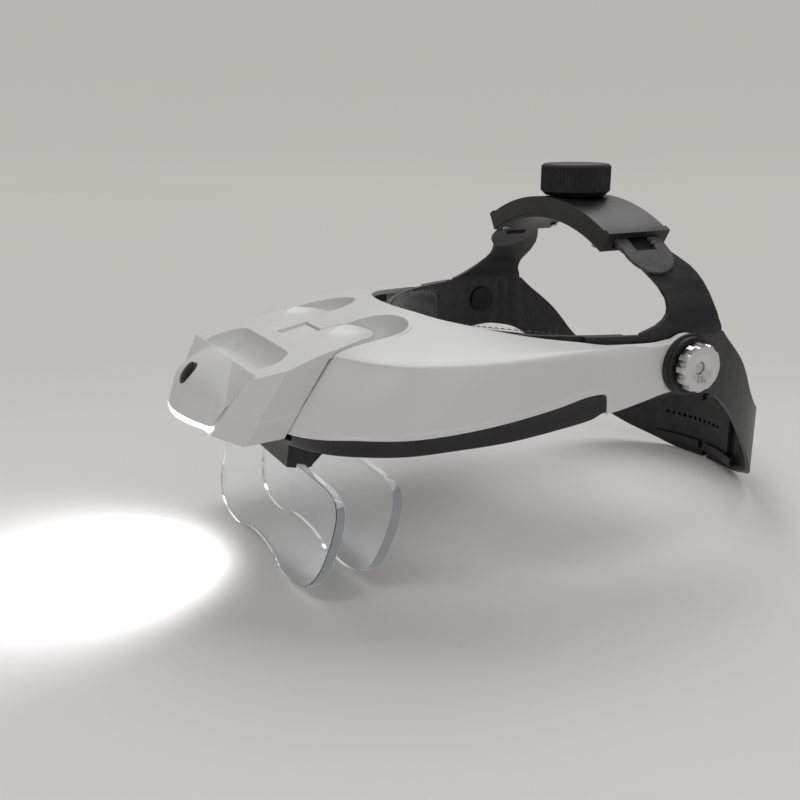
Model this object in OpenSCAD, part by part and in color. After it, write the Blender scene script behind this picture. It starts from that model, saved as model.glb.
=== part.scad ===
// Lighted headband magnifier: a head harness with a pinion-adjusted crown strap, a white visor
// that tilts on two clamp knobs, a battery lamp that slides off the visor's nose and two clear
// lens plates hinged below it. It stands on its front lens plate and on the nape of the harness.
// Front is -Y, up is +Z, the wearer's left is +X. Millimetres.

/* [Harness] */
// Half width of the head ring at the temples, outside
ring_half_w = 77; // [72:0.5:82]
// Reach of the head ring ahead of the crown knob
ring_front = 90; // [84:1:96]
// Reach of the head ring behind the crown knob
ring_rear = 95; // [88:1:104]
// Wall of the moulded side plates and forehead band
plate_t = 2.2; // [1.8:0.1:2.6]
// Top edge of the forehead band above the table
band_top = 92.5; // [90:0.5:95]
// Height of the forehead band
band_h = 30; // [24:1:36]
// Thickness of the forehead pad
pad_t = 5; // [3:0.5:6]
// Height of the nape at its centre
nape_h = 40; // [34:1:46]

/* [Crown adjuster] */
// Height of the centre of the crown arc
arc_z = 49; // [46:0.5:52]
// Outer radius of the crown straps
strap_r = 87; // [84:0.5:90]
// Thickness of the straps and of their rack tongues
strap_t = 1.5; // [1.3:0.1:2]
// Width of the straps at the crown
strap_w = 23; // [20:0.5:26]
// Half angle of the arc that the crown channel covers
channel_half = 30; // [26:1:34]
// Width of the crown channel, front to back
channel_w = 32; // [29:0.5:36]
// Diameter of the crown knob
crown_knob_d = 31; // [26:0.5:34]
// Height of the crown knob
crown_knob_h = 13.6; // [10:0.2:16]
// Outside diameter of the pinion
pinion_d = 10; // [8:0.5:11]

/* [Tilt pivots] */
// Height of the tilt axis above the table
pivot_z = 80.5; // [78:0.5:83]
// Diameter of the pivot studs
stud_d = 5; // [4:0.5:6]
// Diameter of the black friction discs
disc_d = 23; // [20:0.5:26]
// Diameter of the metal thumb knobs
thumb_d = 19.5; // [17:0.5:22]
// Thickness of the metal thumb knobs
thumb_t = 4.8; // [4:0.2:8]
// Number of finger scallops around a thumb knob
scallops = 12; // [8:1:16]

/* [Visor] */
// Distance of the visor arms' outside from the head ring
arm_off = 4; // [3.5:0.5:6]
// Reach of the visor nose ahead of the crown knob
visor_front = 159; // [154:1:164]
// Where the curved nose of the visor begins, ahead of the crown knob
nose_from = 62; // [56:1:68]
// Height of the crease between the visor's side and top
crease_z = 89.5; // [87:0.5:92]
// Wall of the visor shell
shell_t = 2.2; // [1.8:0.1:2.6]
// Width of the flange of the black lower trim
trim_flange = 12; // [9:0.5:15]

/* [Lamp] */
// Half width of the lamp hood at its foot
hood_half_w = 41; // [38:0.5:44]
// Wall of the lamp hood and lamp head
hood_t = 1.8; // [1.5:0.1:2.2]
// Half width of the lamp head's top ridge
head_half_w = 36; // [32:0.5:38]
// Reach of the lamp head ahead of the crown knob
head_front = 188; // [184:0.5:192]
// Diameter of the switch button
button_d = 9.5; // [7:0.5:11]
// Diameter of a battery cell
cell_d = 10.5; // [9.5:0.1:11]
// Length of a battery cell
cell_l = 44.5; // [40:0.5:46]

/* [Lens plates] */
// Half width of a lens plate
lens_half_w = 63; // [58:0.5:66]
// Height of a lens plate along its face
lens_h = 42; // [38:0.5:44]
// Thickness of a lens plate
lens_t = 4; // [3:0.1:4.5]
// Backward lean of the lens plates, degrees
lens_lean = 16.7; // [14:0.1:19]
// Distance between the two lens plates
lens_gap_y = 23; // [20:0.5:26]
// Half width of the lens holder
holder_half_w = 19; // [17:0.5:22]
// Diameter of the lens hinge knuckles
knuckle_d = 11.6; // [10:0.2:12]
// Diameter of the lens hinge pin
hinge_pin_d = 2.5; // [2:0.1:3]

/* [Fits] */
// Clearance between pieces that move past each other
run_gap = 0.3; // [0.2:0.05:0.4]
// Radial clearance of a pin or stud in its bore
pin_gap = 0.05; // [0.03:0.01:0.1]

/* [Hidden] */
$fn = 64;

// Derived places, in the harness's own frame: Y = 0 is the crown knob's axis
clip_t = 3.2;
origin_y = (head_front - ring_rear - clip_t) / 2;
ring_y = (ring_rear - ring_front) / 2;
ring_half_l = (ring_rear + ring_front) / 2;
nape_r = ring_half_w * ring_half_w / ring_half_l;
pivot_y = -2.2;
visor_half_w = ring_half_w + arm_off;
arm_t = shell_t;
arm_in_x = visor_half_w - arm_t;
arm_boss_x = arm_in_x - 0.9;
boss_x = arm_boss_x - run_gap;
disc_x = visor_half_w;
disc_t = 3.6;
washer_x = disc_x + disc_t;
washer_t = 0.7;
thumb_x = washer_x + washer_t + 0.1;
stud_end_x = thumb_x + thumb_t - 2;
head_x = ring_half_w - plate_t - 1.8;

// Layers of the crown adjuster, by radius from the arc's centre
root_in = strap_r - strap_t;
outer_in = strap_r + run_gap;
outer_out = outer_in + strap_t;
channel_in = outer_out + run_gap;
channel_t = 1.9;
channel_top = channel_in + channel_t;
inner_out = root_in - run_gap;
inner_in = inner_out - strap_t;
cover_out = inner_in - run_gap;
cover_t = 1.6;
cover_in = cover_out - cover_t;
wall_t = 4;
crown_z = arc_z + channel_top;
knob_z = crown_z + 0.4;
root_end = 24;
tongue_tail = 20;
tongue_end = 43;
strap_leave = 46;
knee_z = band_top - 2.5;
pinion_teeth = 12;
mesh_r = (pinion_d + run_gap) / 2;
rack_gap = pinion_d / 2 + run_gap;

// Lens hinge and holder
hinge_y = -136;
hinge_z = 49;
lens_foot_y = -152.3;
rear_foot_z = 1.8;
lens_top = lens_h + 2;

// Lamp
hood_foot_z = 61;
hood_top_z = 95.8;
ear_rear = -113.5;
tongue_half_w = 8;
tongue_tip = -127.5;
ridge_y = -166.6;
ridge_z = 85.8;
front_slope = atan2(13.9, 23.5);
front_wall = 3.2;
cells = [[-141.8, 80.5], [-150.3, 73.4], [-159, 66.8]];
seam = [[-156.6, 61.9], [-134.6, 90.6]];
hood_gap = 0.4;

// Points between two points
function mix(a, b, t) = a + (b - a) * t;
// Power of a size that keeps the sign of the base
function spow(v, e) = sign(v) * pow(abs(v), e);
// A smooth line through a few points
function bend4(a, b, c, d, t) = 0.5 * (2 * b + (c - a) * t + (2 * a - 5 * b + 4 * c - d) * t * t
  + (3 * b - a - 3 * c + d) * t * t * t);
function smooth(p, n = 5) = [for (i = [0:len(p) - 2]) for (k = [0:n - 1])
  bend4(p[max(i - 1, 0)], p[i], p[i + 1], p[min(i + 2, len(p) - 1)], k / n), p[len(p) - 1]];
function flip(p) = [for (q = p) [-q[0], q[1]]];
function back(p) = [for (i = [len(p) - 1:-1:0]) p[i]];

module place() translate([0, origin_y, 0]) children();
module mirrored(side) mirror([side > 0 ? 0 : 1, 0, 0]) children();
// Extrudes an outline drawn in Y and Z along X
module along_x(x0, x1) translate([x0, 0, 0]) rotate([90, 0, 90]) linear_extrude(x1 - x0) children();
// A round bar along X at a Y and Z
module bar_x(d, x0, x1, y, z) translate([x0, y, z]) rotate([0, 90, 0]) cylinder(d = d, h = x1 - x0);

// Closed skin over rings that all have the same number of points. Its ends are closed as one
// face, as a fan from each ring's last point, or as a strip between a ring's two halves
module skin(rings, ends = "face") {
  n = len(rings[0]);
  m = len(rings);
  sides = [for (j = [0:m - 2]) for (i = [0:n - 1])
    let (a = j * n + i, b = j * n + (i + 1) % n) each [[a, b + n, b], [a, a + n, b + n]]];
  last = (m - 1) * n;
  lids = ends == "fan" ? [for (i = [0:n - 3]) each [[n - 1, i, i + 1], [last + n - 1, last + i + 1, last + i]]]
    : ends == "strip" ? [for (i = [0:n / 2 - 2]) each [[i, i + 1, n - 2 - i], [i, n - 2 - i, n - 1 - i],
      [last + i, last + n - 2 - i, last + i + 1], [last + i, last + n - 1 - i, last + n - 2 - i]]]
    : [[for (i = [0:n - 1]) i], [for (i = [n - 1:-1:0]) last + i]];
  polyhedron([for (r = rings) for (p = r) p], concat(sides, lids), convexity = 8);
}

// Head ring, as an oval in plan
function ring_pt(a, inset = 0) =
  [(ring_half_w - inset) * cos(a), ring_y + (ring_half_l - inset) * sin(a)];
function ring_normal(a) = atan2(sin(a) / ring_half_l, cos(a) / ring_half_w);
module oval(inset) polygon([for (i = [0:95]) ring_pt(i * 3.75, inset)]);
module ring_wall(inset, t, z0, z1) translate([0, 0, z0]) linear_extrude(z1 - z0) difference() {
  oval(inset);
  oval(inset + t);
}
// Puts its children on the head ring at an angle, with Z pointing outwards
module on_ring(a, z, inset = 0) translate([ring_pt(a, inset)[0], ring_pt(a, inset)[1], z])
  rotate([0, 0, ring_normal(a)]) rotate([0, 90, 0]) children();

// Harness outlines, seen from the side, in Y and Z
lap_y = -26;
plate_front = -42;
knee_top = knee_z + 0.3;
plate_top = [[plate_front, band_top], [-21, band_top], [-20.9, knee_top]];
plate_rear = [[21.8, knee_top], [26.8, 85.5], [34.4, 79], [40, 73.5], [45, 67], [50, 60], [57, 52.5], [66, 46.5],
  [77, 42.5], [88, nape_h + 0.5], [ring_rear + 1, nape_h]];
plate_foot = [[ring_rear + 1, 0], [ring_rear - 3.5, 0]];
plate_under = [[ring_rear - 5, 0.6], [85, 4], [78, 8], [71, 13], [64, 19], [56, 27.5], [48.5, 35.5], [41.5, 43.5],
  [35, 50.6], [28, 57.2], [22.5, 61.5], [17, 64.2], [10, 65.9], [0, 67], [-20, 65], [plate_front, 63.5]];
plate_outline = concat(plate_top, smooth(plate_rear, 4), plate_foot, smooth(plate_under, 4));

// Crown strap root, seen from the front, in X and Z
function arc_pt(r, a) = [r * sin(a), arc_z + r * cos(a)];
function knee(t, r, w, u) = let (p = arc_pt(r, strap_leave), q = [w, knee_z], c = 10,
  p1 = p + c * [cos(strap_leave), -sin(strap_leave)], q1 = q + [0, c])
  pow(1 - u, 3) * p + 3 * pow(1 - u, 2) * u * p1 + 3 * (1 - u) * u * u * q1 + u * u * u * q;
function strap_line(r, w) = concat([for (i = [0:8]) arc_pt(r, mix(root_end, strap_leave, i / 8))],
  [for (i = [1:9]) knee(0, r, w, i / 9)], [[w, knee_z - 0.4]]);
strap_front = [[80, -21.6], [92.3, -21.6], [94, -18], [95.5, -13], [97.5, -9], [100, -5.5], [104, -2.6], [108, -2.6],
  [112.4, -4.8], [117.8, -7.6], [122.6, -strap_w / 2 + 0.6], [126, -strap_w / 2], [150, -strap_w / 2]];
strap_back = [[80, 21.3], [92, 20.9], [96, 19.2], [101, 19.2], [106, 20.6], [111, 20.6], [115.2, 18.4], [118.8, 15],
  [122.3, strap_w / 2], [150, strap_w / 2]];
function side_x(y, inset) = (ring_half_w - inset) * sqrt(1 - pow((y - ring_y) / (ring_half_l - inset), 2));
function strap_ring(p, w, n = 8) = let (y0 = lookup(p[1], strap_front), y1 = lookup(p[1], strap_back))
  [for (j = [0:n]) let (y = mix(y0, y1, j / n)) [p[0] - w * (ring_half_w - side_x(y, 0)), y, p[1]]];
module strap_root() {
  outer = strap_line(strap_r, ring_half_w - 0.03);
  inner = strap_line(root_in, ring_half_w - plate_t + 0.03);
  skin([for (i = [0:len(outer) - 1]) let (u = max(0, (i - 8) / 9), w = min(1, u * u * (3 - 2 * u)))
    concat(strap_ring(inner[i], w), back(strap_ring(outer[i], w)))], "strip");
}

module side_plate(side) color([0.1, 0.1, 0.11]) place() mirrored(side) difference() {
  union() {
    intersection() {
      ring_wall(0, plate_t, 0, band_top + 1);
      along_x(1.5, ring_half_w + 5) polygon(plate_outline);
    }
    strap_root();
    bar_x(18, head_x + 1.8, boss_x, pivot_y, pivot_z);
    nape_rails();
  }
  bar_x(stud_d + 2 * pin_gap, head_x, boss_x + 1, pivot_y, pivot_z);
  bar_x(13.4, head_x - 1, head_x + 1.8, pivot_y, pivot_z);
  for (z = rivet_z) on_ring(rivet_a, z, 2 * plate_t + 1) cylinder(d = rivet_d, h = 2 * plate_t + 5);
  for (z = nape_rivet_z) nape_rivet_axis(z) cylinder(d = rivet_d, h = 20, center = true);
}
rivet_d = 3;
rivet_a = -24;
rivet_z = [72, 85];
nape_rivet_x = 12;
nape_rivet_z = [12, 28];
module nape_rivet_axis(z) translate([nape_rivet_x, ring_rear, z]) rotate([90, 0, 0]) children();

// Grooved rails at the nape that hold the size tongue
rail_z = [5, nape_h - 5];
module nape_rails() for (z = [0, 1]) intersection() {
  union() {
    ring_wall(plate_t - 0.5, 4.1, z > 0 ? rail_z[1] - 2.5 : rail_z[0], z > 0 ? rail_z[1] : rail_z[0] + 2.5);
    ring_wall(plate_t + 2.6, 1, z > 0 ? rail_z[1] - 4 : rail_z[0], z > 0 ? rail_z[1] : rail_z[0] + 4);
  }
  translate([1.5, ring_rear - 20, 0]) cube([26, 20, nape_h]);
}
module side_plate_left() side_plate(1);
module side_plate_right() side_plate(-1);

module forehead_band() color([0.1, 0.1, 0.11]) place() difference() {
  intersection() {
    ring_wall(plate_t, plate_t, band_top - band_h, band_top);
    translate([-ring_half_w, -ring_front, 0]) cube([2 * ring_half_w, ring_front + lap_y, band_top + 1]);
  }
  for (s = [1, -1]) for (z = rivet_z) mirrored(s) on_ring(rivet_a, z, 2 * plate_t + 1)
    cylinder(d = rivet_d, h = 2 * plate_t + 5);
}

// Cushion along the forehead: crowned towards the brow, drawn in at its edges and ends
pad_half_a = 65;
function pad_ring(a) = let (e = pow(abs(a / pad_half_a), 6), deep = pad_t * (1 - 0.55 * e),
  low = band_top - band_h + 1 + 5 * e, high = band_top + 1.5 - 5 * e, n = 10, base = 2 * plate_t + 0.1)
  [for (i = [0:n]) let (q = 180 * i / n, z = mix(low, high, (1 - cos(q)) / 2),
    p = ring_pt(a - 90, base + 0.6 + (deep - 0.6) * pow(sin(q), 0.55))) [p[0], p[1], z],
   let (p = ring_pt(a - 90, base)) [p[0], p[1], high - 2],
   let (p = ring_pt(a - 90, base)) [p[0], p[1], low + 2]];
module forehead_pad() color([0.13, 0.13, 0.14]) place()
  skin([for (i = [0:30]) pad_ring(mix(-pad_half_a, pad_half_a, i / 30))]);

module band_rivets() color([0.2, 0.2, 0.21]) place() for (s = [1, -1]) mirrored(s) for (z = rivet_z)
  on_ring(rivet_a, z, 2 * plate_t + 1) {
    translate([0, 0, 1.1]) cylinder(d = rivet_d - 0.1, h = 2 * plate_t);
    translate([0, 0, 2 * plate_t + 1.05]) cylinder(d1 = rivet_d + 3, d2 = rivet_d + 1, h = 1);
  }

// A block on the crown arc, between two radii, two Y and two angles from straight up
module arc_band(r0, r1, y0, y1, a0, a1) translate([0, 0, arc_z]) rotate([90, 0, 0])
  rotate([0, 0, 90 - a1]) rotate_extrude(angle = a1 - a0, $fn = 240)
    translate([r0, -y1]) square([r1 - r0, y1 - y0]);
// A round hole or boss that points out along the crown arc's radius
module arc_round(d, r0, r1, a, y = 0) translate([0, y, arc_z]) rotate([0, a, 0])
  translate([0, 0, r0]) cylinder(d = d, h = r1 - r0);
cavity_w = channel_w - 2 * wall_t;
cover_screw_y = channel_w / 2 - 2.2;
screw_d = 2.2;
cover_screw_a = 25;
pinion_journal_d = 7;

module crown_channel() color([0.08, 0.08, 0.085]) place() difference() {
  union() {
    arc_band(cover_out, channel_top, -channel_w / 2, channel_w / 2, -channel_half, channel_half);
    for (s = [1, -1]) mirrored(s)
      arc_band(channel_top - 1, channel_top + 0.9, -channel_w / 2, channel_w / 2, channel_half - 2, channel_half);
    translate([0, 0, crown_z - 1]) cylinder(d = pinion_journal_d + 7, h = 1.2);
  }
  difference() {
    arc_band(cover_out - 1, channel_in, -cavity_w / 2, cavity_w / 2, -channel_half - 1, channel_half + 1);
    for (s = [1, -1]) for (y = [1, -1]) mirrored(s)
      arc_band(root_in, strap_r, min(y * strap_w / 2, y * channel_w / 2), max(y * strap_w / 2, y * channel_w / 2),
        root_end, channel_half);
  }
  for (s = [1, -1]) for (y = [1, -1]) mirrored(s)
    arc_round(screw_d - 0.4, cover_out - 1, channel_in - 1, cover_screw_a, y * cover_screw_y);
  translate([0, 0, arc_z]) cylinder(d = pinion_journal_d + 2 * pin_gap, h = 200);
}

module crown_cover() color([0.12, 0.12, 0.125]) place() difference() {
  arc_band(cover_in, cover_out - 0.06, -channel_w / 2 + 0.5, channel_w / 2 - 0.5, -channel_half + 1, channel_half - 1);
  translate([0, 0, arc_z]) cylinder(d = pinion_journal_d + 2 * pin_gap, h = cover_out + 1);
  for (s = [1, -1]) for (y = [1, -1]) mirrored(s)
    arc_round(screw_d, cover_in - 5, cover_out + 5, cover_screw_a, y * cover_screw_y);
}
module crown_cover_screws() color([0.55, 0.55, 0.57]) place()
  for (s = [1, -1]) for (y = [1, -1]) mirrored(s) {
    arc_round(screw_d - 0.4, cover_in - 0.1, channel_in - 1.2, cover_screw_a, y * cover_screw_y);
    arc_round(screw_d + 1, cover_in - 1.1, cover_in - 0.06, cover_screw_a, y * cover_screw_y);
  }

knob_ribs = 60;
shaft_d = 6;
knob_hub_h = 9;
module crown_knob() color([0.06, 0.06, 0.065]) place() translate([0, 0, knob_z]) difference() {
  intersection() {
    linear_extrude(crown_knob_h) polygon([for (i = [0:2 * knob_ribs - 1])
      (crown_knob_d / 2 - (i % 2) * 0.45) * [cos(180 * i / knob_ribs), sin(180 * i / knob_ribs)]]);
    rotate_extrude() polygon([[0, 0], [crown_knob_d / 2 - 2.2, 0], [crown_knob_d / 2 + 0.1, 2.2],
      [crown_knob_d / 2 + 0.1, crown_knob_h - 1.2], [crown_knob_d / 2 - 1.2, crown_knob_h], [0, crown_knob_h]]);
  }
  translate([0, 0, -1]) difference() {
    cylinder(d = crown_knob_d - 6, h = crown_knob_h - 2);
    cylinder(d = shaft_d + 6, h = crown_knob_h);
  }
  translate([0, 0, -1]) cylinder(d = shaft_d, h = knob_hub_h + 1);
  cylinder(d = screw_d, h = crown_knob_h - 2);
}

// Toothed wheel between the two racks, with its shaft up to the knob
pinion_z = arc_z + cover_out + 0.2;
module crown_pinion() color([0.75, 0.75, 0.72]) place() difference() {
  union() {
    translate([0, 0, pinion_z]) linear_extrude(arc_z + channel_in - 0.3 - pinion_z)
      polygon([for (i = [0:4 * pinion_teeth - 1]) let (a = 90 * i / pinion_teeth)
        (pinion_d / 2 - (i % 4 < 2 ? 0 : 1.3)) * [cos(a), sin(a)]]);
    translate([0, 0, arc_z + cover_in + 0.6]) cylinder(d = pinion_journal_d, h = cover_t);
    translate([0, 0, arc_z + channel_in - 0.5]) cylinder(d = pinion_journal_d, h = knob_z - arc_z - channel_in + 0.3);
    translate([0, 0, arc_z + channel_in]) cylinder(d = shaft_d, h = knob_z + knob_hub_h - arc_z - channel_in - 0.2);
  }
  translate([0, 0, arc_z]) cylinder(d = screw_d, h = 200);
}
module crown_knob_screw() color([0.55, 0.55, 0.57]) place() {
  translate([0, 0, arc_z + cover_in - 1]) cylinder(d = 5, h = 1.6);
  translate([0, 0, arc_z + cover_in]) cylinder(d = screw_d, h = knob_z - arc_z - cover_in + crown_knob_h - 3);
}

// Free end of a crown strap: a rounded band with a rack along one side of its slot. Each row
// across it is [angle, left edge, slot's left side, slot's right side, right edge]
slot_from = -12;
slot_to = 35;
module strap_tongue(r0, r1, rack) {
  w = strap_w / 2;
  round_a = tongue_end - w * 57.3 / r1;
  pitch = 720 / pinion_teeth * mesh_r / (r0 + r1);
  teeth = floor((slot_to - slot_from - 1) / pitch);
  function row(a, half, deep) = [a, -half, -rack_gap - (rack < 0 ? deep : 0), rack_gap + (rack > 0 ? deep : 0), half];
  rows = concat(
    [for (a = [-tongue_tail, -16, slot_from]) row(a, w, 0)],
    [for (i = [0:teeth - 1]) let (a = slot_from + 0.4 + i * pitch)
      each [row(a, w, 0), row(a + 0.12 * pitch, w, 1.1), row(a + 0.48 * pitch, w, 1.1), row(a + 0.6 * pitch, w, 0)]],
    [row(slot_to, w * 0.999, 0)],
    [for (i = [0:11]) let (t = i / 11, d = sin(90 * t) * 0.998) [mix(round_a, tongue_end, d),
      each [for (k = [-1, -0.45, 0.45, 1]) k * w * sqrt(1 - d * d)]]]);
  solid = [for (j = [0:len(rows) - 2]) rows[j + 1][0] <= slot_from + 0.01 || rows[j][0] >= slot_to - 0.01];
  points = [for (h = rows) for (r = [r1, r0]) for (k = [1:4]) [r * sin(h[0]), h[k], arc_z + r * cos(h[0])]];
  m = len(rows);
  function quad(a, b, c, d) = [[a, b, c], [a, c, d]];
  steps = [for (j = [0:m - 2]) let (p = 8 * j, q = p + 8) each concat(
    [for (k = [0, 1, 2]) if (k != 1 || solid[j]) each concat(quad(p + k, p + k + 1, q + k + 1, q + k),
      quad(p + 4 + k, q + 4 + k, q + 5 + k, p + 5 + k))],
    quad(p, q, q + 4, p + 4), quad(p + 3, p + 7, q + 7, q + 3),
    solid[j] ? [] : concat(quad(p + 1, p + 5, q + 5, q + 1), quad(p + 2, q + 2, q + 6, p + 6)))];
  walls = [for (j = [1:m - 2]) if (solid[j - 1] != solid[j]) let (p = 8 * j)
    each solid[j] ? quad(p + 1, p + 5, p + 6, p + 2) : quad(p + 1, p + 2, p + 6, p + 5)];
  z = 8 * (m - 1);
  lids = [for (k = [0, 1, 2]) each concat(quad(k, k + 4, k + 5, k + 1), quad(z + k, z + k + 1, z + k + 5, z + k + 4))];
  polyhedron(points, concat(steps, walls, lids), convexity = 10);
}
module strap_tongue_right() color([0.17, 0.17, 0.175]) place() strap_tongue(outer_in, outer_out, 1);
module strap_tongue_left() color([0.17, 0.17, 0.175]) place() mirror([1, 0, 0])
  strap_tongue(inner_in, inner_out, -1);

// Plate behind the nape that joins the two side plates
clip_half_w = 18;
module nape_clip() color([0.07, 0.07, 0.075]) place() difference() {
  intersection() {
    ring_wall(-clip_t, clip_t, 0.4, nape_h - 1);
    translate([-clip_half_w, ring_rear - 15, 0]) cube([2 * clip_half_w, 30, nape_h]);
  }
  for (s = [1, -1]) for (z = nape_rivet_z) mirrored(s) nape_rivet_axis(z)
    cylinder(d = rivet_d + 0.1, h = 20, center = true);
  translate([0, ring_rear, (rail_z[0] + rail_z[1]) / 2]) rotate([90, 0, 0]) cylinder(d = 5, h = 20, center = true);
}
module nape_rivets() color([0.2, 0.2, 0.21]) place() for (s = [1, -1]) for (z = nape_rivet_z)
  mirrored(s) intersection() {
    nape_rivet_axis(z) cylinder(d = rivet_d, h = 20, center = true);
    ring_wall(-clip_t, clip_t + plate_t, 0, nape_h);
  }

// Size tongue that slides in the nape rails, on the ring's own curve there
tongue_r = nape_r - plate_t - 0.4;
tongue_t = 1.6;
nape_axis_y = ring_rear - nape_r;
module nape_tongue() color([0.17, 0.17, 0.175]) place() translate([0, nape_axis_y, 0]) difference() {
  translate([0, 0, rail_z[0] + 2.5 + run_gap]) rotate([0, 0, 90 - 20])
    rotate_extrude(angle = 50, $fn = 160) translate([tongue_r - tongue_t, 0])
      square([tongue_t, rail_z[1] - rail_z[0] - 5 - 2 * run_gap]);
  for (i = [-3:7]) rotate([0, 0, 90 + i * 3.2]) translate([tongue_r - 3, 0, (rail_z[0] + rail_z[1]) / 2])
    rotate([0, 90, 0]) cylinder(d = 2, h = 5, $fn = 24);
}

module pivot_stud() color([0.72, 0.72, 0.74]) {
  bar_x(13, head_x, head_x + 1.8, pivot_y, pivot_z);
  bar_x(stud_d, head_x, stud_end_x, pivot_y, pivot_z);
}
module pivot_stud_left() place() pivot_stud();
module pivot_stud_right() place() mirrored(-1) pivot_stud();

module friction_disc() color([0.05, 0.05, 0.055]) difference() {
  union() {
    bar_x(disc_d + 2, disc_x, disc_x + disc_t * 0.45, pivot_y, pivot_z);
    bar_x(disc_d, disc_x, disc_x + disc_t, pivot_y, pivot_z);
  }
  bar_x(stud_d + 2 * pin_gap, disc_x - 1, disc_x + disc_t + 1, pivot_y, pivot_z);
}
module friction_disc_left() place() friction_disc();
module friction_disc_right() place() mirrored(-1) friction_disc();

module spring_washer() color([0.65, 0.65, 0.67]) difference() {
  bar_x(stud_d + 5, washer_x, washer_x + washer_t, pivot_y, pivot_z);
  bar_x(stud_d + 2 * pin_gap, washer_x - 1, washer_x + 2, pivot_y, pivot_z);
}
module spring_washer_left() place() spring_washer();
module spring_washer_right() place() mirrored(-1) spring_washer();

// Clamp knob: scalloped rim, dished face, threaded through
module thumb_knob() color([0.8, 0.8, 0.82]) translate([thumb_x, pivot_y, pivot_z]) rotate([0, 90, 0])
  difference() {
    intersection() {
      linear_extrude(thumb_t) difference() {
        circle(d = thumb_d);
        for (i = [0:scallops - 1]) rotate(360 * (i + 0.5) / scallops)
          translate([thumb_d / 2 + 0.7, 0]) circle(d = 3.4, $fn = 24);
      }
      rotate_extrude() polygon([[0, 0], [thumb_d / 2 - 0.6, 0], [thumb_d / 2, 0.6],
        [thumb_d / 2, thumb_t - 0.9], [thumb_d / 2 - 0.9, thumb_t], [0, thumb_t]]);
    }
    translate([0, 0, thumb_t - 1.4]) cylinder(d1 = stud_d + 1, d2 = thumb_d - 7, h = 1.5);
    translate([0, 0, -1]) cylinder(d = stud_d + 2 * pin_gap, h = thumb_t + 2);
  }
module thumb_knob_left() place() thumb_knob();
module thumb_knob_right() place() mirrored(-1) thumb_knob();

// Visor: plan curves of its lower edge, its crease and its edge along the forehead, and their heights
crease_back = 20;
edge_half_w = visor_half_w - 2.2;
edge_front = 94.5;
edge_z = [[0, 91.4], [8, 91], [19, 89.9], [34, 89.9], [47, 91.4], [59, 92.7], [74, 95.1], [81, 96.3],
  [87, 97.3], [92, 98.6], [95, 99]];
trim_top = [[0, 73.4], [47, 73.4], [63, 70.8], [85, 67.9], [106, 65.9], [124, 64.7], [138, 64.5],
  [149, 63], [154, 62.3], [160, 61.6]];
trim_low = [[0, 65.6], [41, 65.6], [47.5, 63.5], [63, 61.7], [85, 60], [106, 59.4], [124, 58.3],
  [138, 58], [148, 57.6], [160, 57.6]];
arm_low = [[0, 69.5], [8, 69.9], [24, 67.3], [36.6, 65.2], [45, 64.6]];
trim_end = 40.5;
nose_l = visor_front - nose_from;
edge_from = asin(nose_from / edge_front);
function low_pt(q) = [visor_half_w * spow(cos(q), 2 / 3), -nose_from - nose_l * spow(sin(q), 2 / 3)];
function crease_pt(q) = [(visor_half_w - 0.7) * spow(cos(q), 1 / 1.4),
  -nose_from - (nose_l - crease_back) * spow(sin(q), 1 / 1.4)];
function edge_pt(q) = let (b = mix(edge_from, 90, q / 90)) [edge_half_w * cos(b), -edge_front * sin(b)];
function edge_at(y) = [edge_half_w * sqrt(1 - y * y / edge_front / edge_front), y];
function out_dir(q) = let (v = [spow(cos(q), 4 / 3) / visor_half_w, -spow(sin(q), 4 / 3) / nose_l])
  v / norm(v);
function arm_z(y) = lookup(-y, [[0, 88.9], [34, 88.7], [62, crease_z]]);

// One half of the way round the visor: [low, crease, edge, outward direction, foot]
arm_ys = [0, -6, -12, -18, -24, -30, -36.6, -40.4, -40.6, -45, -50, -56];
nose_qs = [for (i = [0:22]) 90 * pow(i / 22, 1.15)];
function foot_z(y) = -y < trim_end ? lookup(-y, arm_low) : lookup(-y, trim_top) + 0.1;
half_way = concat(
  [for (y = arm_ys) [[visor_half_w - 0.1, y], [visor_half_w - 0.7, y], edge_at(y), [1, 0], foot_z(y), arm_z(y)]],
  [for (q = nose_qs) let (p = low_pt(q)) [p, crease_pt(q), edge_pt(q), out_dir(q), foot_z(p[1]), crease_z]]);
function fl(v) = [-v[0], v[1]];
full_way = concat(half_way, [for (i = [len(half_way) - 2:-1:0]) let (h = half_way[i])
  [fl(h[0]), fl(h[1]), fl(h[2]), fl(h[3]), h[4], h[5]]]);
function p3(v, z) = [v[0], v[1], z];
function visor_ring(h) = let (t = shell_t, d = h[3], o = h[0], c = h[1], e = h[2], ze = lookup(-e[1], edge_z),
    zc = h[5], run = norm(c - e), k = run > 4 ? 1 : 0, crown = k * min(1.1, run / 30), m = c - 2.4 * k * d,
    o2 = o - d * t, c2 = c - d * t, te = t * min(1, 0.35 + run / 9))
  [p3(o, h[4]), p3(mix(o, c, 0.45) + d * 1.3 * (1 - abs(d[0])), mix(h[4], zc, 0.5)), p3(mix(o, c, 0.93), zc - 2.4),
   p3(m, zc + 0.9 * k + 0.02), p3(mix(c, e, 0.5), mix(zc, ze, 0.5) + crown), p3(mix(m, e, 0.93), ze + 0.1 * k + 0.01),
   p3(e, ze - 0.3), p3(e, ze - te), p3(mix(c2, e, 0.5), mix(zc, ze, 0.5) + crown - te),
   p3(mix(c2, m, 0.4), zc - te), p3(mix(o2, c2, 0.9), zc - te - 1.6),
   p3(mix(o2, c2, 0.45) + d * 1.3 * (1 - abs(d[0])), mix(h[4], zc, 0.5)), p3(o2, h[4])];

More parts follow.
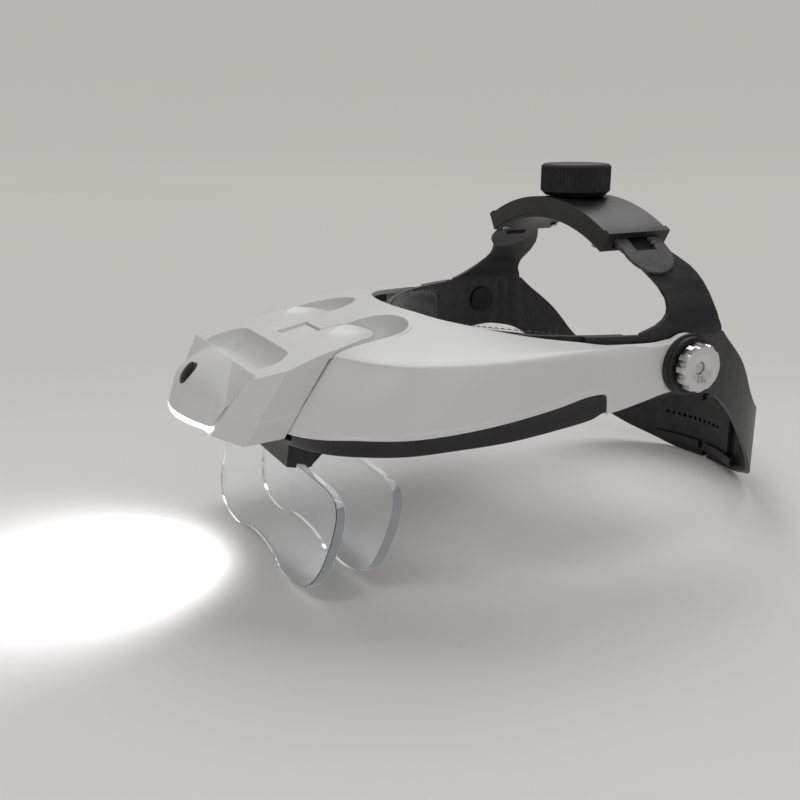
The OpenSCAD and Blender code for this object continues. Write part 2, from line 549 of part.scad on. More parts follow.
// Plan of the hood's two ears and the notch between them for the visor's tongue
ear_r = 14.2;
ear_x = 8.4 + ear_r;
ear_y = ear_rear - ear_r;
module ear_plan(g) translate([0, 0, 80]) linear_extrude(40) {
  half = [[41 + g, -160], [38.5 + g, -141], [ear_x + ear_r + g, ear_y], [8.4 - g, ear_y],
    [8.4 - g, tongue_tip - 0.6 + g]];
  polygon(concat(half, back(flip(half))));
  for (s = [1, -1]) translate([s * ear_x, ear_y]) circle(r = ear_r + g);
}
// Finger hollow behind each ear
bowl = [25.5, -113.5, 99.5];
bowl_r = 14.5;
module finger_bowl(r) for (s = [1, -1]) mirrored(s) translate(bowl) {
  sphere(r = r);
  rotate([90, 0, 0]) cylinder(r = r, h = 17);
}
post_at = [[visor_half_w - 12, -112, 82], [visor_half_w - 31, -138, 75]];
module visor_shell() color([0.86, 0.86, 0.85]) place() difference() {
  union() {
    skin([for (h = full_way) visor_ring(h)]);
    for (s = [1, -1]) mirrored(s) bar_x(disc_d + 1, arm_boss_x, visor_half_w, pivot_y, pivot_z);
    intersection() {
      finger_bowl(bowl_r + 1.8);
      along_x(-45, 45) polygon([[-131, 80], [-90, 80], [-95, 97.6], [-100, 96.6], [-113.5, 94], [-131, 90]]);
    }
    for (s = [1, -1]) mirrored(s) for (p = post_at) let (foot = lookup(-p[1], trim_low) + 2.3)
      translate([p[0], p[1], foot]) cylinder(d = 6, h = p[2] - foot);
  }
  finger_bowl(bowl_r);
  for (s = [1, -1]) mirrored(s) {
    bar_x(stud_d + 2 * pin_gap, arm_in_x - 5, visor_half_w + 5, pivot_y, pivot_z);
    for (p = post_at) translate([p[0], p[1], 50]) cylinder(d = screw_d, h = 20);
  }
  along_x(-60, 60) polygon([[-200, 50], [seam[0][0], 50], seam[0], seam[1], [seam[1][0], 120], [-200, 120]]);
  along_x(-tray_half - 0.4, tray_half + 0.4) polygon([[-162, 50], [-152.3, 50], [-152.3, 67.4], [-162, 56]]);
  along_x(-tray_half - 0.4, tray_half + 0.4) polygon([[-145, 87.6], [-137.2, 87.6], [-133.4, 83.2], [-133.9, 75], [-145, 75]]);
  intersection() {
    along_x(-45, 45) polygon([[-145, 120], [-145, 86.2], [-135, 87.8], [ear_rear + 0.5, 92.3], [ear_rear + 0.5, 120]]);
    ear_plan(hood_gap);
  }
}

// Soft lip under the visor's edge along the forehead
function liner_ring(b) = let (e = [edge_half_w * cos(b), -edge_front * sin(b)], d = e / norm(e),
  z = lookup(-e[1], edge_z) - shell_t, a = e + d * 0.8, c = e + d * 2.2, h = 4 * sin(b) + 1)
  [p3(a, z - 0.1), p3(a, z - h + 0.5), p3(mix(a, c, 0.5), z - h), p3(c, z - h + 0.5), p3(c, z - 0.5)];
module visor_liner() color([0.3, 0.3, 0.31]) place()
  skin([for (i = [0:36]) liner_ring(mix(44, 136, i / 36))]);

// Black strip along the visor's lower edge, with a flange and the lens hinge's cross plate
trim_t = 2.2;
trim_way = concat([for (y = [-41, -43, -50, -56]) [[visor_half_w, y], [1, 0], 0.4]],
  [for (q = nose_qs) [low_pt(q), out_dir(q), mix(0.4, trim_flange - trim_t, min(1, q / 25))]]);
trim_full = concat(trim_way, [for (i = [len(trim_way) - 2:-1:0]) let (h = trim_way[i]) [fl(h[0]), fl(h[1]), h[2]]]);
function trim_ring(h) = let (o = h[0] + h[1] * 0.25, d = h[1], y = -o[1], zt = y < 42 ? 72.4 : lookup(y, trim_top),
  zb = y < 42 ? 67 : lookup(y, trim_low), i1 = o - d * trim_t, i2 = i1 - d * h[2])
  [p3(o, zb + 0.5), p3(o, zt), p3(i1, zt), p3(i1, zb + 2), p3(i2, zb + 2), p3(i2, zb), p3(o - d * 0.5, zb)];
plate_z = 57.6;
module lower_trim() color([0.12, 0.12, 0.13]) place() difference() {
  union() {
    difference() {
      skin([for (h = trim_full) trim_ring(h)]);
      along_x(-41.8, 41.8) polygon([[-200, plate_z + 2], [-146, plate_z + 2], [-134, 75], [-200, 75]]);
    }
    translate([-24, -156, plate_z]) cube([48, 27, 2]);
    for (s = [1, -1]) mirrored(s) for (p = post_at)
      translate([p[0], p[1], lookup(-p[1], trim_low) - 0.5]) cylinder(d = 7, h = 2.5);
  }
  for (s = [1, -1]) mirrored(s) {
    for (p = post_at) translate([p[0], p[1], 50]) cylinder(d = screw_d, h = 20);
    for (p = block_screws) translate([p[0], p[1], 50]) cylinder(d = screw_d, h = 20);
    for (p = tray_screws) translate([p[0], p[1], 50]) cylinder(d = screw_d, h = 20);
  }
}
block_screws = [[10.8, -132.6]];
tray_screws = [[20, -152]];
module trim_screws() color([0.55, 0.55, 0.57]) place() for (s = [1, -1]) mirrored(s) {
  for (p = post_at) translate([p[0], p[1], lookup(-p[1], trim_low) - 0.5]) {
    cylinder(d = screw_d, h = 9.5);
    translate([0, 0, -1.2]) cylinder(d = screw_d + 2, h = 1.2);
  }
  for (p = tray_screws) translate([p[0], p[1], plate_z]) {
    cylinder(d = screw_d, h = 4.2);
    translate([0, 0, -1.2]) cylinder(d = screw_d + 2, h = 1.2);
  }
}

// Tray for three cells on the visor's nose, below the hood
tray_half = cell_l / 2 + 3.4;
module battery_tray() color([0.16, 0.16, 0.17]) place() difference() {
  along_x(-tray_half, tray_half) polygon([[-138.2, 86.4], [-133.9, 82.6], [-134.4, 75.8], [-149.4, plate_z + 2.1],
    [-164.6, plate_z + 2.1], [-164.6, 64.6], [-160.6, 68.6], [-152, 75.2], [-143.6, 82.2]]);
  for (c = cells) bar_x(cell_d + 0.5, -cell_l / 2 - 1.3, cell_l / 2 + 1.3, c[0], c[1]);
  along_x(-cell_l / 2 - 1.3, cell_l / 2 + 1.3) polygon([[-140.8, 90], [-141.8, 80.5], [-150.3, 73.4],
    [-159, 66.8], [-170, 64], [-170, 90]]);
  for (s = [1, -1]) mirrored(s) for (p = tray_screws) translate([p[0], p[1], 50]) cylinder(d = screw_d, h = 12);
}
module battery_cells() color([0.2, 0.35, 0.55]) place() for (i = [0:2]) {
  s = i % 2 == 0 ? 1 : -1;
  bar_x(cell_d, -cell_l / 2, cell_l / 2 - 0.8, s > 0 ? cells[i][0] : cells[i][0], cells[i][1]);
  mirrored(s) bar_x(3.8, cell_l / 2 - 1, cell_l / 2, cells[i][0], cells[i][1]);
}
module cell_contacts() color([0.85, 0.83, 0.75]) place() for (s = [1, -1]) mirrored(s) {
  for (c = cells) bar_x(7.5, cell_l / 2 + 0.1, cell_l / 2 + 0.8, c[0], c[1]);
  along_x(cell_l / 2 + 0.6, cell_l / 2 + 1.2) polygon(s > 0
    ? [[cells[0][0], cells[0][1] + 3], [cells[0][0] - 3, cells[0][1]], [cells[1][0] - 1, cells[1][1] - 3], [cells[1][0] + 3, cells[1][1]]]
    : [[cells[1][0], cells[1][1] + 3], [cells[1][0] - 3, cells[1][1]], [cells[2][0] - 1, cells[2][1] - 3], [cells[2][0] + 3, cells[2][1]]]);
}

// Lens hinge under the visor's nose
block_half = 14.7;
gap_half = 7;
module hinge_block() color([0.06, 0.06, 0.065]) place() difference() {
  union() {
    along_x(-block_half, block_half) polygon([[hinge_y - 3, hinge_z], [hinge_y - 3, plate_z - 0.1],
      [hinge_y + 6, plate_z - 0.1], [hinge_y + 6, hinge_z]]);
    bar_x(12, -block_half, block_half, hinge_y, hinge_z);
  }
  translate([-gap_half, hinge_y - 10, hinge_z - 10]) cube([2 * gap_half, 20, 16.6]);
  translate([-gap_half, hinge_y + 1.5, hinge_z]) cube([2 * gap_half, 10, 12]);
  bar_x(hinge_pin_d, -block_half - 1, block_half + 1, hinge_y, hinge_z);
  for (s = [1, -1]) mirrored(s) for (p = block_screws) translate([p[0], p[1], hinge_z + 2.6])
    cylinder(d = screw_d, h = 12);
}
module hinge_block_screws() color([0.55, 0.55, 0.57]) place() for (s = [1, -1]) mirrored(s)
  for (p = block_screws) {
    translate([p[0], p[1], hinge_z + 3]) cylinder(d = screw_d, h = plate_z + 2.2 - hinge_z - 3);
    translate([p[0], p[1], plate_z + 2]) cylinder(d = screw_d + 2, h = 1.2);
  }
module hinge_pin() color([0.75, 0.75, 0.77]) place()
  bar_x(hinge_pin_d, -holder_half_w - 0.4, holder_half_w + 0.4, hinge_y, hinge_z);

module lens_frame(y, z) translate([0, y, z]) rotate([-lens_lean, 0, 0]) rotate([90, 0, 0]) children();
tab_half = 14;
half_lens = [[0, 4], [9, 3.8], [18, 2.5], [25, 0.4], [33, 0], [42, 0.8], [50, 3.3], [56, 7], [60.5, 14],
  [lens_half_w, 25], [lens_half_w - 0.6, 34], [59, lens_h - 3], [51, lens_h - 0.4], [36, lens_h], [tab_half, lens_h]];
module lens_outline(tab) {
  half = concat(smooth(half_lens, 5), tab > 0 ? [[tab_half, lens_h + tab]] : []);
  polygon(concat(half, back(flip([for (i = [1:len(half) - 1]) half[i]]))));
}
module front_lens() color([0.85, 0.9, 0.93, 0.35]) place() lens_frame(lens_foot_y, 0)
  linear_extrude(lens_t) lens_outline(2.2);
module rear_lens() color([0.85, 0.9, 0.93, 0.35]) place() difference() {
  union() {
    lens_frame(lens_foot_y + lens_gap_y, rear_foot_z) linear_extrude(lens_t) lens_outline(0);
    along_x(-gap_half + run_gap, gap_half - run_gap) polygon([[hinge_y + 3, hinge_z + 4.6],
      [-117.4, 43.6], [-120.6, 37], [hinge_y - 2.3, hinge_z - 5]]);
    bar_x(knuckle_d - 0.6, -gap_half + run_gap, gap_half - run_gap, hinge_y, hinge_z);
  }
  bar_x(hinge_pin_d + 2 * pin_gap, -10, 10, hinge_y, hinge_z);
}
cheek_x = block_half + run_gap;
module lens_holder() color([0.05, 0.05, 0.055]) place() difference() {
  union() {
    for (s = [1, -1]) mirrored(s) {
      bar_x(knuckle_d, cheek_x, holder_half_w, hinge_y, hinge_z);
      along_x(cheek_x, holder_half_w) polygon([[-147.5, 50], [-143, 50.5], [hinge_y - 1, hinge_z + 5.6],
        [hinge_y + 4.4, hinge_z - 3.6], [-138.2, 39.8], [-141, 39], [-148.7, 41]]);
    }
    along_x(-holder_half_w, holder_half_w) polygon([[-147.5, 50], [-143.9, 50.2], [-143.1, 45.5], [-138.4, 42.2],
      [-137.6, 39.6], [-141, 39], [-148.7, 41]]);
  }
  lens_frame(lens_foot_y, 0) {
    translate([-tab_half - 0.2, 30, -0.1]) cube([2 * tab_half + 0.4, lens_h + 2.4 - 30, lens_t + 0.2]);
    translate([-30, 30, -0.2]) cube([60, lens_h + 0.3 - 30, lens_t + 0.4]);
  }
  bar_x(hinge_pin_d + 2 * pin_gap, -30, 30, hinge_y, hinge_z);
}

// Lamp hood: a block that narrows towards the lamp head, with two ears over the visor
function edge_line(a, b, n = 6) = [for (i = [0:n]) mix(a, b, i / n)];
function hood_ring(a, b) = let (e = edge_line(a, b)) concat(e, [for (p = back(e)) [-p[0], p[1], p[2]]]);
hood_outer = [[[36, ridge_y, ridge_z], [26, -181, 61.2]], [[40, -154, 88.1], [hood_half_w + 2.5, -174, hood_foot_z]],
  [[37.8, -135.1, 91.3], [hood_half_w, -157.4, hood_foot_z]]];
hood_inner = [[[34.2, -164, 84], [23.6, -181.8, 56]], [[38.1, -153.8, 86.3], [hood_half_w + 1.4, -176.5, 56]],
  [[36, -130, 90.6], [40.1, -150, 56]]];
grip = [-156.6, 90.5];
grip_r = 10;
module grip_hollow(r) {
  bar_x(2 * r, -25, 25, grip[0], grip[1]);
  for (s = [1, -1]) translate([s * 25, grip[0], grip[1]]) sphere(r = r);
}
// Puts its children on the sloped joint between hood and lamp head, with Z pointing forwards
module on_front(x, along) translate([x, ridge_y - sin(front_slope) * along, ridge_z - cos(front_slope) * along])
  rotate([90 - front_slope, 0, 0]) children();
module lamp_hood() color([0.87, 0.87, 0.86]) place() difference() {
  union() {
    difference() {
      skin([for (h = hood_outer) hood_ring(h[0], h[1])], "strip");
      difference() {
        skin([for (h = hood_inner) hood_ring(h[0], h[1])], "strip");
        grip_hollow(grip_r + hood_t);
      }
    }
    intersection() {
      along_x(-45, 45) polygon([[-141, 90], [ear_rear + 1, 96], [ear_rear + 1, 93], [-135, 88.3], [-141, 87.4]]);
      ear_plan(0);
    }
  }
  grip_hollow(grip_r);
  for (s = [1, -1]) translate([s * 24, -125.5, 126.6]) sphere(r = 35, $fn = 160);
  along_x(-8.4, 8.4) polygon([[-141, 100], [-141, 88.9], [-120, 93.5], [-120, 100]]);
  on_front(0, 0) translate([-8, -20, -6]) cube([16, 17, 12]);
  on_front(0, 0) translate([-17.5, -24, -6]) cube([35, 9, 12]);
  for (s = [1, -1]) on_front(s * 13.5, 10) cylinder(d = screw_d, h = 12, center = true);
}

// Lamp head: a bulged front between its straight ridge and its curved foot
foot_half = 26;
foot_y = -180.9;
foot_reach = head_front + foot_y;
function joint_y(z) = ridge_y - (ridge_z - z) * 0.5854;
function foot_top(u) = 64.6 + 1.2 * (1 - u * u);
function head_pt(u, v, i) = let (uc = min(1, 0.4 + v), s = min(1, abs(u) / uc),
    b = 6.3 * sin(180 * pow(v, 0.6)) * pow(max(0, 1 - s * s), 0.8), top = [(36 - i) * u, ridge_y - 0.5, ridge_z],
    foot = [(foot_half - i) * u, foot_y - foot_reach * (1 - u * u), foot_top(u)])
  mix(top, foot, v) + [0, -b * 0.95 + i * 1.15, b * 0.3 - i * 0.5 - (i > 0 && v == 1 ? 5 : 0)];
function head_ring(u, i, n = 10) = let (p = head_pt(u, 1, i), q = head_pt(u, 0, i), r = i > 0 ? 8 : -0.05)
  concat([for (k = [0:n]) head_pt(u, k / n, i)],
    [[p[0], joint_y(p[2]) + r, p[2]], [q[0], joint_y(q[2]) + r, q[2]]]);
switch_at = [0, -180.6, 79];
switch_tilt = 35;
module on_switch() translate(switch_at) rotate([90 - switch_tilt, 0, 0]) children();
module head_body(i) skin([for (k = [-12:12]) head_ring(k / 12, i)], "fan");
module lamp_head() color([0.88, 0.88, 0.87]) place() difference() {
  union() {
    difference() {
      head_body(0);
      head_body(hood_t);
    }
    intersection() {
      head_body(0);
      union() {
        on_switch() translate([0, 0, -6]) cylinder(d = button_d + 3.6, h = 12);
        for (s = [1, -1]) on_front(s * 13.5, 10) cylinder(d = 5, h = 8);
      }
    }
  }
  on_switch() translate([0, 0, -7]) cylinder(d = button_d + 0.6, h = 14);
  for (s = [1, -1]) on_front(s * 13.5, 10) translate([0, 0, -1]) cylinder(d = screw_d - 0.4, h = 3.6);
}
module lamp_head_screws() color([0.55, 0.55, 0.57]) place() for (s = [1, -1])
  on_front(s * 13.5, 10) {
    translate([0, 0, -front_wall]) cylinder(d = screw_d - 0.4, h = front_wall + 2.2);
    translate([0, 0, -front_wall - 1.2]) cylinder(d = screw_d + 1.8, h = 1.2);
  }

// Crescent window under the lamp head, and the lamp above it
window_foot = 62.8;
function window_ring(u) = let (y = foot_y - foot_reach * (1 - u * u), x = foot_half * u, z = foot_top(u) - 0.1,
    zb = window_foot + 0.4 * (1 - u * u))
  [[x, y - 0.05, z], [x, y - 0.05, mix(z, zb, 0.4)], [x, y + 0.35, zb], [x, foot_y + 0.5, zb], [x, foot_y + 0.5, z]];
module lamp_window() color([1, 1, 0.97]) place() skin([for (k = [-16:16]) window_ring(k / 16)]);
led_x = [-12, -4, 4, 12];
led_y = -179.2;
board_z = 68.7;
module led_board() color([0.9, 0.9, 0.88]) place() translate([0, led_y, board_z]) linear_extrude(1.1)
  polygon([[-15.5, 2.9], [-15.5, -1.4], [-13.6, -2.2], [13.6, -2.2], [15.5, -1.4], [15.5, 2.9]]);
module leds() color([1, 0.95, 0.7]) place() for (x = led_x) translate([x, led_y, 0]) {
  translate([0, 0, board_z - 1.4]) cylinder(d = 4, h = 1.4);
  translate([0, 0, board_z - 1.2]) intersection() {
    sphere(d = 3.2, $fn = 32);
    translate([0, 0, -3]) cylinder(d = 4.6, h = 3);
  }
}
module reflector() color([0.8, 0.8, 0.82]) place() difference() {
  translate([-15, led_y - 2.5, board_z - 1]) cube([30, 5.1, 0.9]);
  for (x = led_x) translate([x, led_y, 60]) cylinder(d = 4.3, h = 12);
}
module switch_body() color([0.1, 0.1, 0.1]) place() on_switch() {
  translate([0, 0, -9.5]) cylinder(d = button_d + 0.4, h = 5);
  for (x = [-2, 2]) translate([x, 0, -11]) cylinder(d = 0.9, h = 2);
}
module switch_button() color([0.04, 0.04, 0.045]) place() on_switch() {
  intersection() {
    translate([0, 0, -2.8]) cylinder(d = button_d, h = 4.6);
    translate([0, 0, -9.5]) sphere(r = 11.3);
  }
  translate([0, 0, -3.2]) cylinder(d = 3, h = 1);
}
module lamp_contacts() color([0.85, 0.83, 0.75]) place() for (s = [1, -1]) mirrored(s)
  along_x(11, 14) polygon([[-177.5, board_z + 1.2], [-170, board_z + 1.2], [-167, board_z - 1],
    [-166.6, board_z - 0.6], [-169.8, board_z + 1.7], [-177.5, board_z + 1.7]]);

side_plate_left();
side_plate_right();
forehead_band();
forehead_pad();
band_rivets();
crown_channel();
crown_cover();
crown_cover_screws();
crown_knob();
crown_pinion();
crown_knob_screw();
strap_tongue_left();
strap_tongue_right();
nape_clip();
nape_tongue();
nape_rivets();
pivot_stud_left();
pivot_stud_right();
friction_disc_left();
friction_disc_right();
spring_washer_left();
spring_washer_right();
thumb_knob_left();
thumb_knob_right();
visor_shell();
visor_liner();
lower_trim();
trim_screws();
battery_tray();
battery_cells();
cell_contacts();
hinge_block();
hinge_block_screws();
hinge_pin();
lens_holder();
front_lens();
rear_lens();
lamp_hood();
lamp_head();
lamp_head_screws();
lamp_window();
reflector();
led_board();
leds();
switch_body();
switch_button();
lamp_contacts();
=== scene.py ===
# Lighted headband magnifier: its finishes and final shapes, over the packed solids
import math

import bmesh
import bpy
from bpy.props import FloatProperty, FloatVectorProperty, PointerProperty
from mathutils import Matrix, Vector


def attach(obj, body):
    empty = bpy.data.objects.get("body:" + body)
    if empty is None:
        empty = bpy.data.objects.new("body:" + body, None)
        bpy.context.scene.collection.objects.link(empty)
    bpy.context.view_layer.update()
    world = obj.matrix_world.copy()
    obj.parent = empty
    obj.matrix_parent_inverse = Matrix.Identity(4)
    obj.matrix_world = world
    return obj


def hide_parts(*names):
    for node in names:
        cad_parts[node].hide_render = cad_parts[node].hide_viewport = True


bl_info = {
    "name": "Lighted headband magnifier",
    "version": (1, 0, 0),
    "blender": (4, 5, 0),
    "location": "3D View > Sidebar > Magnifier",
    "description": "Builds the dressed magnifier over its solids, piece by piece",
    "category": "Object",
}

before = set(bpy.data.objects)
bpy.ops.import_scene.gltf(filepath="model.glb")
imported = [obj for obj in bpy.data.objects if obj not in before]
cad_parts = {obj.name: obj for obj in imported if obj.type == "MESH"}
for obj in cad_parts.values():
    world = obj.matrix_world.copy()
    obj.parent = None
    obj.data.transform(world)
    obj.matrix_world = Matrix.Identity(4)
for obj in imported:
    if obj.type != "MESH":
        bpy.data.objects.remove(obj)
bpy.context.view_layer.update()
MM = 0.001

# The shapes are worked out in the harness's own frame, in millimetres: Y = 0 is the crown knob's axis
ORIGIN_Y = 44.9
PIVOT_Y, PIVOT_Z = -2.2, 80.5
PILOT_R = 1.1

# Clean-up of meshes, in millimetres, degrees and faces
MERGE_GAP, WELD_GAP = 0.001, 0.002
FLAT_ENOUGH = 0.6
FINE_ENOUGH = 60000


def place(p):
    return Vector((p[0], p[1] + ORIGIN_Y, p[2])) * MM


# Small sums that the shapes share
def mix(a, b, t):
    return a + (b - a) * t


def clamp(x, low=0.0, high=1.0):
    return max(low, min(high, x))


def ease(x):
    x = clamp(x)
    return x * x * (3 - 2 * x)


def power(v, e):
    return math.copysign(abs(v) ** e, v)


def sin_d(a):
    return math.sin(math.radians(a))


def cos_d(a):
    return math.cos(math.radians(a))


def steady(x, table):
    """A smooth line through a table's points that never overshoots them."""
    if x <= table[0][0]:
        return table[0][1]
    if x >= table[-1][0]:
        return table[-1][1]
    slopes = [(b[1] - a[1]) / (b[0] - a[0]) for a, b in zip(table, table[1:])]
    i = next(k for k in range(len(slopes)) if x <= table[k + 1][0])

    def tangent(k):
        if k == 0 or k == len(slopes):
            return slopes[min(k, len(slopes) - 1)]
        a, b = slopes[k - 1], slopes[k]
        return 0.0 if a * b <= 0 else 2 * a * b / (a + b)

    h = table[i + 1][0] - table[i][0]
    t = (x - table[i][0]) / h
    return (
        (2 * t**3 - 3 * t**2 + 1) * table[i][1]
        + (t**3 - 2 * t**2 + t) * h * tangent(i)
        + (3 * t**2 - 2 * t**3) * table[i + 1][1]
        + (t**3 - t**2) * h * tangent(i + 1)
    )


def flowing(points, n):
    """Points along a smooth line through the given ones, n for each stretch."""
    out = []
    for i in range(len(points) - 1):
        a, b = points[max(i - 1, 0)], points[i]
        c, d = points[i + 1], points[min(i + 2, len(points) - 1)]
        for k in range(n):
            t = k / n
            out.append(
                0.5 * (2 * b + (c - a) * t + (2 * a - 5 * b + 4 * c - d) * t * t
                       + (3 * b - a - 3 * c + d) * t**3)
            )
    out.append(points[-1])
    return out


# Handling of pieces
def pick(*pieces):
    bpy.ops.object.select_all(action="DESELECT")
    for piece in pieces:
        piece.select_set(True)
    bpy.context.view_layer.objects.active = pieces[0]


def modify(piece, kind, **settings):
    """Adds a modifier with these settings and applies it."""
    pick(piece)
    modifier = piece.modifiers.new(kind.title(), kind)
    for key, value in settings.items():
        setattr(modifier, key, value)
    bpy.ops.object.modifier_apply(modifier=modifier.name)


def soften(piece, width, angle=32, segments=2):
    """Rounds every edge sharper than the angle. Width in millimetres."""
    modify(piece, "BEVEL", width=width * MM, segments=segments, limit_method="ANGLE",
           angle_limit=math.radians(angle), use_clamp_overlap=True, miter_outer="MITER_ARC")


def in_edit_mode(piece, *steps):
    """Runs edit mode steps on the whole piece."""
    pick(piece)
    bpy.ops.object.mode_set(mode="EDIT")
    bpy.ops.mesh.select_mode(type="VERT")
    bpy.ops.mesh.select_all(action="SELECT")
    for step in steps:
        step()
    bpy.ops.object.mode_set(mode="OBJECT")


def weld(piece):
    in_edit_mode(piece, lambda: bpy.ops.mesh.remove_doubles(threshold=WELD_GAP * MM))


def face_outwards(piece):
    in_edit_mode(piece, lambda: bpy.ops.mesh.normals_make_consistent(inside=False))


def close_holes(piece):
    def fill():
        bpy.ops.mesh.select_all(action="DESELECT")
        bpy.ops.mesh.select_non_manifold(extend=False, use_wire=False, use_multi_face=False,
                                         use_non_contiguous=False, use_verts=False)
        bpy.ops.mesh.fill_holes(sides=0)

    in_edit_mode(piece, fill)


def loft(name, rings, closed=True):
    """A skin over rings of points: a grid whose vertices are moved one by one onto them."""
    columns, rows = len(rings) - 1, len(rings[0]) - (0 if closed else 1)
    bpy.ops.object.select_all(action="DESELECT")
    bpy.ops.mesh.primitive_grid_add(x_subdivisions=columns, y_subdivisions=rows, size=1)
    piece = bpy.context.object
    piece.name = piece.data.name = name
    for vertex in piece.data.vertices:
        i = round((vertex.co.x + 0.5) * columns)
        j = round((vertex.co.y + 0.5) * rows)
        vertex.co = place(rings[i][j % len(rings[i])])
    if closed:
        weld(piece)
        close_holes(piece)
        face_outwards(piece)
    return piece


def slab(name, outline, axis, low, high):
    """A solid between two flat or sloping ends over a closed outline. Along x the outline is in
    (y, z), and along z in (x, y). An end is a number, or gives one for each outline point."""
    def end(side, p):
        d = side(p) if callable(side) else side
        return (d, p[0], p[1]) if axis == "x" else (p[0], p[1], d)

    return loft(name, [[end(low, p) for p in outline], [end(high, p) for p in outline]])


def turns(count):
    """The angles that divide a full turn into this many equal steps."""
    return [360 * k / count for k in range(count)]


def barrel(name, radius, start, finish, segments):
    """A round bar along the axis of the tilt pivots."""
    return loft(name, [[(x, PIVOT_Y + radius * cos_d(a), PIVOT_Z + radius * sin_d(a))
                        for a in turns(segments)] for x in (start, finish)])


def post(name, radius, x, y, low, high, segments=32):
    """An upright round bar."""
    return loft(name, [[(x + radius * cos_d(a), y + radius * sin_d(a), z)
                        for a in turns(segments)] for z in (low, high)])


def capsule(name, centre, radius, reach, axis, both=False):
    """A round ended bar: the end behind the centre is half a ball, and the other flat or a ball."""
    caps = [(-radius * cos_d(90 * k / 16), radius * sin_d(90 * k / 16)) for k in range(17)]
    caps[0] = (-radius, 0.0)
    line = caps + ([(reach - d, r) for d, r in reversed(caps)] if both else [(reach, radius)])
    rings = []
    for d, r in line:
        ring = []
        for a in turns(48):
            u, v = r * cos_d(a), r * sin_d(a)
            p = (d, u, v) if axis == "x" else (u, -d, v)
            ring.append(tuple(c + q for c, q in zip(centre, p)))
        rings.append(ring)
    return loft(name, rings)


def joined(pieces, name):
    """Makes one piece of several."""
    pick(*pieces)
    bpy.ops.object.join()
    pieces[0].name = name
    return pieces[0]


def combine(piece, tool, how="DIFFERENCE"):
    """Cuts the tool out of the piece, or adds it, or keeps what they share."""
    modify(piece, "BOOLEAN", operation=how, object=tool, solver="EXACT")
    bpy.data.objects.remove(tool)


def drill(piece, x, y):
    """Sinks an upright pilot hole into the piece for one of the trim's screws."""
    combine(piece, post("hole", PILOT_R, x, y, 50, 70, 20))


def mark_edges(piece):
    """Stores how sharply the surface turns at each vertex, from 0 to 1, for the wear to follow."""
    edges = piece.data.attributes.new("edge", "FLOAT", "POINT")
    mesh = bmesh.new()
    mesh.from_mesh(piece.data)
    turn = []
    for v in mesh.verts:
        folds = [e.calc_face_angle(0.0) for e in v.link_edges if len(e.link_faces) == 2]
        turn.append(clamp((math.degrees(max(folds, default=0.0)) - 8) / 26))
    mesh.free()
    edges.data.foreach_set("value", turn)


def complete(piece, body, finish, nodes=(), smooth=34):
    """Gives a shaped piece its smooth shading, its material, its body and the nodes it stands for."""
    pick(piece)
    bpy.ops.object.shade_smooth_by_angle(angle=math.radians(smooth))
    if len(piece.data.polygons) < FINE_ENOUGH:
        modify(piece, "WEIGHTED_NORMAL", keep_sharp=True, weight=60)
    mark_edges(piece)
    piece.data.materials.clear()
    piece.data.materials.append(FINISHES[finish])
    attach(piece, body)
    if nodes:
        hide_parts(*nodes)
    return piece


def copy_of(node):
    """A new piece with a copy of the solid's mesh."""
    piece = bpy.data.objects.new(node + "_piece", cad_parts[node].data.copy())
    bpy.context.scene.collection.objects.link(piece)
    return piece


def moulded(node, body, finish, width=0.3, angle=32, segments=2, smooth=34):
    """A solid's own shape, merged and with its sharp edges rounded as a mould rounds them."""
    piece = copy_of(node)
    in_edit_mode(piece, lambda: bpy.ops.mesh.remove_doubles(threshold=MERGE_GAP * MM),
                 lambda: bpy.ops.mesh.dissolve_limited(angle_limit=math.radians(FLAT_ENOUGH)))
    if width > 0:
        soften(piece, width, angle, segments)
    return complete(piece, body, finish, [node], smooth)


# Node building
class Web:
    """Adds nodes to a tree and links them in one line."""

    def __init__(self, tree):
        self.tree = tree

    def add(self, kind, out=0, settings=None, **links):
        """Adds a node with these inputs, by name or as i0, i1 and so on. Gives one output, or the node."""
        node = self.tree.nodes.new("ShaderNode" + kind)
        for key, value in (settings or {}).items():
            setattr(node, key, value)
        for key, value in links.items():
            by_number = key[0] == "i" and key[1:].isdigit()
            self.put(node.inputs[int(key[1:]) if by_number else key.replace("_", " ")], value)
        return node.outputs[out] if out is not None else node

    def put(self, socket, value):
        if isinstance(value, bpy.types.NodeSocket):
            self.tree.links.new(value, socket)
        else:
            socket.default_value = value

    def sum(self, operation, a, b=0.5, c=None):
        """A sum of one to three values. Where it adds, the result is held between 0 and 1."""
        links = {"i0": a, "i1": b}
        if c is not None:
            links["i2"] = c
        held = operation in ("ADD", "MULTIPLY_ADD")
        return self.add("Math", settings={"operation": operation, "use_clamp": held}, **links)

    def times(self, total, *values):
        for value in values:
            total = self.sum("MULTIPLY", total, value)
        return total

    def blend(self, mask, a, b, mode="MIX"):
        return self.add("MixRGB", settings={"blend_type": mode}, Fac=mask, Color1=a, Color2=b)

    def band(self, value, low, high, to_low=0.0, to_high=1.0):
        """Stretches the values from low to high onto another range."""
        return self.add("MapRange", Value=value, From_Min=low, From_Max=high, To_Min=to_low, To_Max=to_high)

    def noise(self, spot, scale, detail, roughness=0.5):
        return self.add("TexNoise", Vector=spot, Scale=scale, Detail=detail, Roughness=roughness)


GROUPS = {}


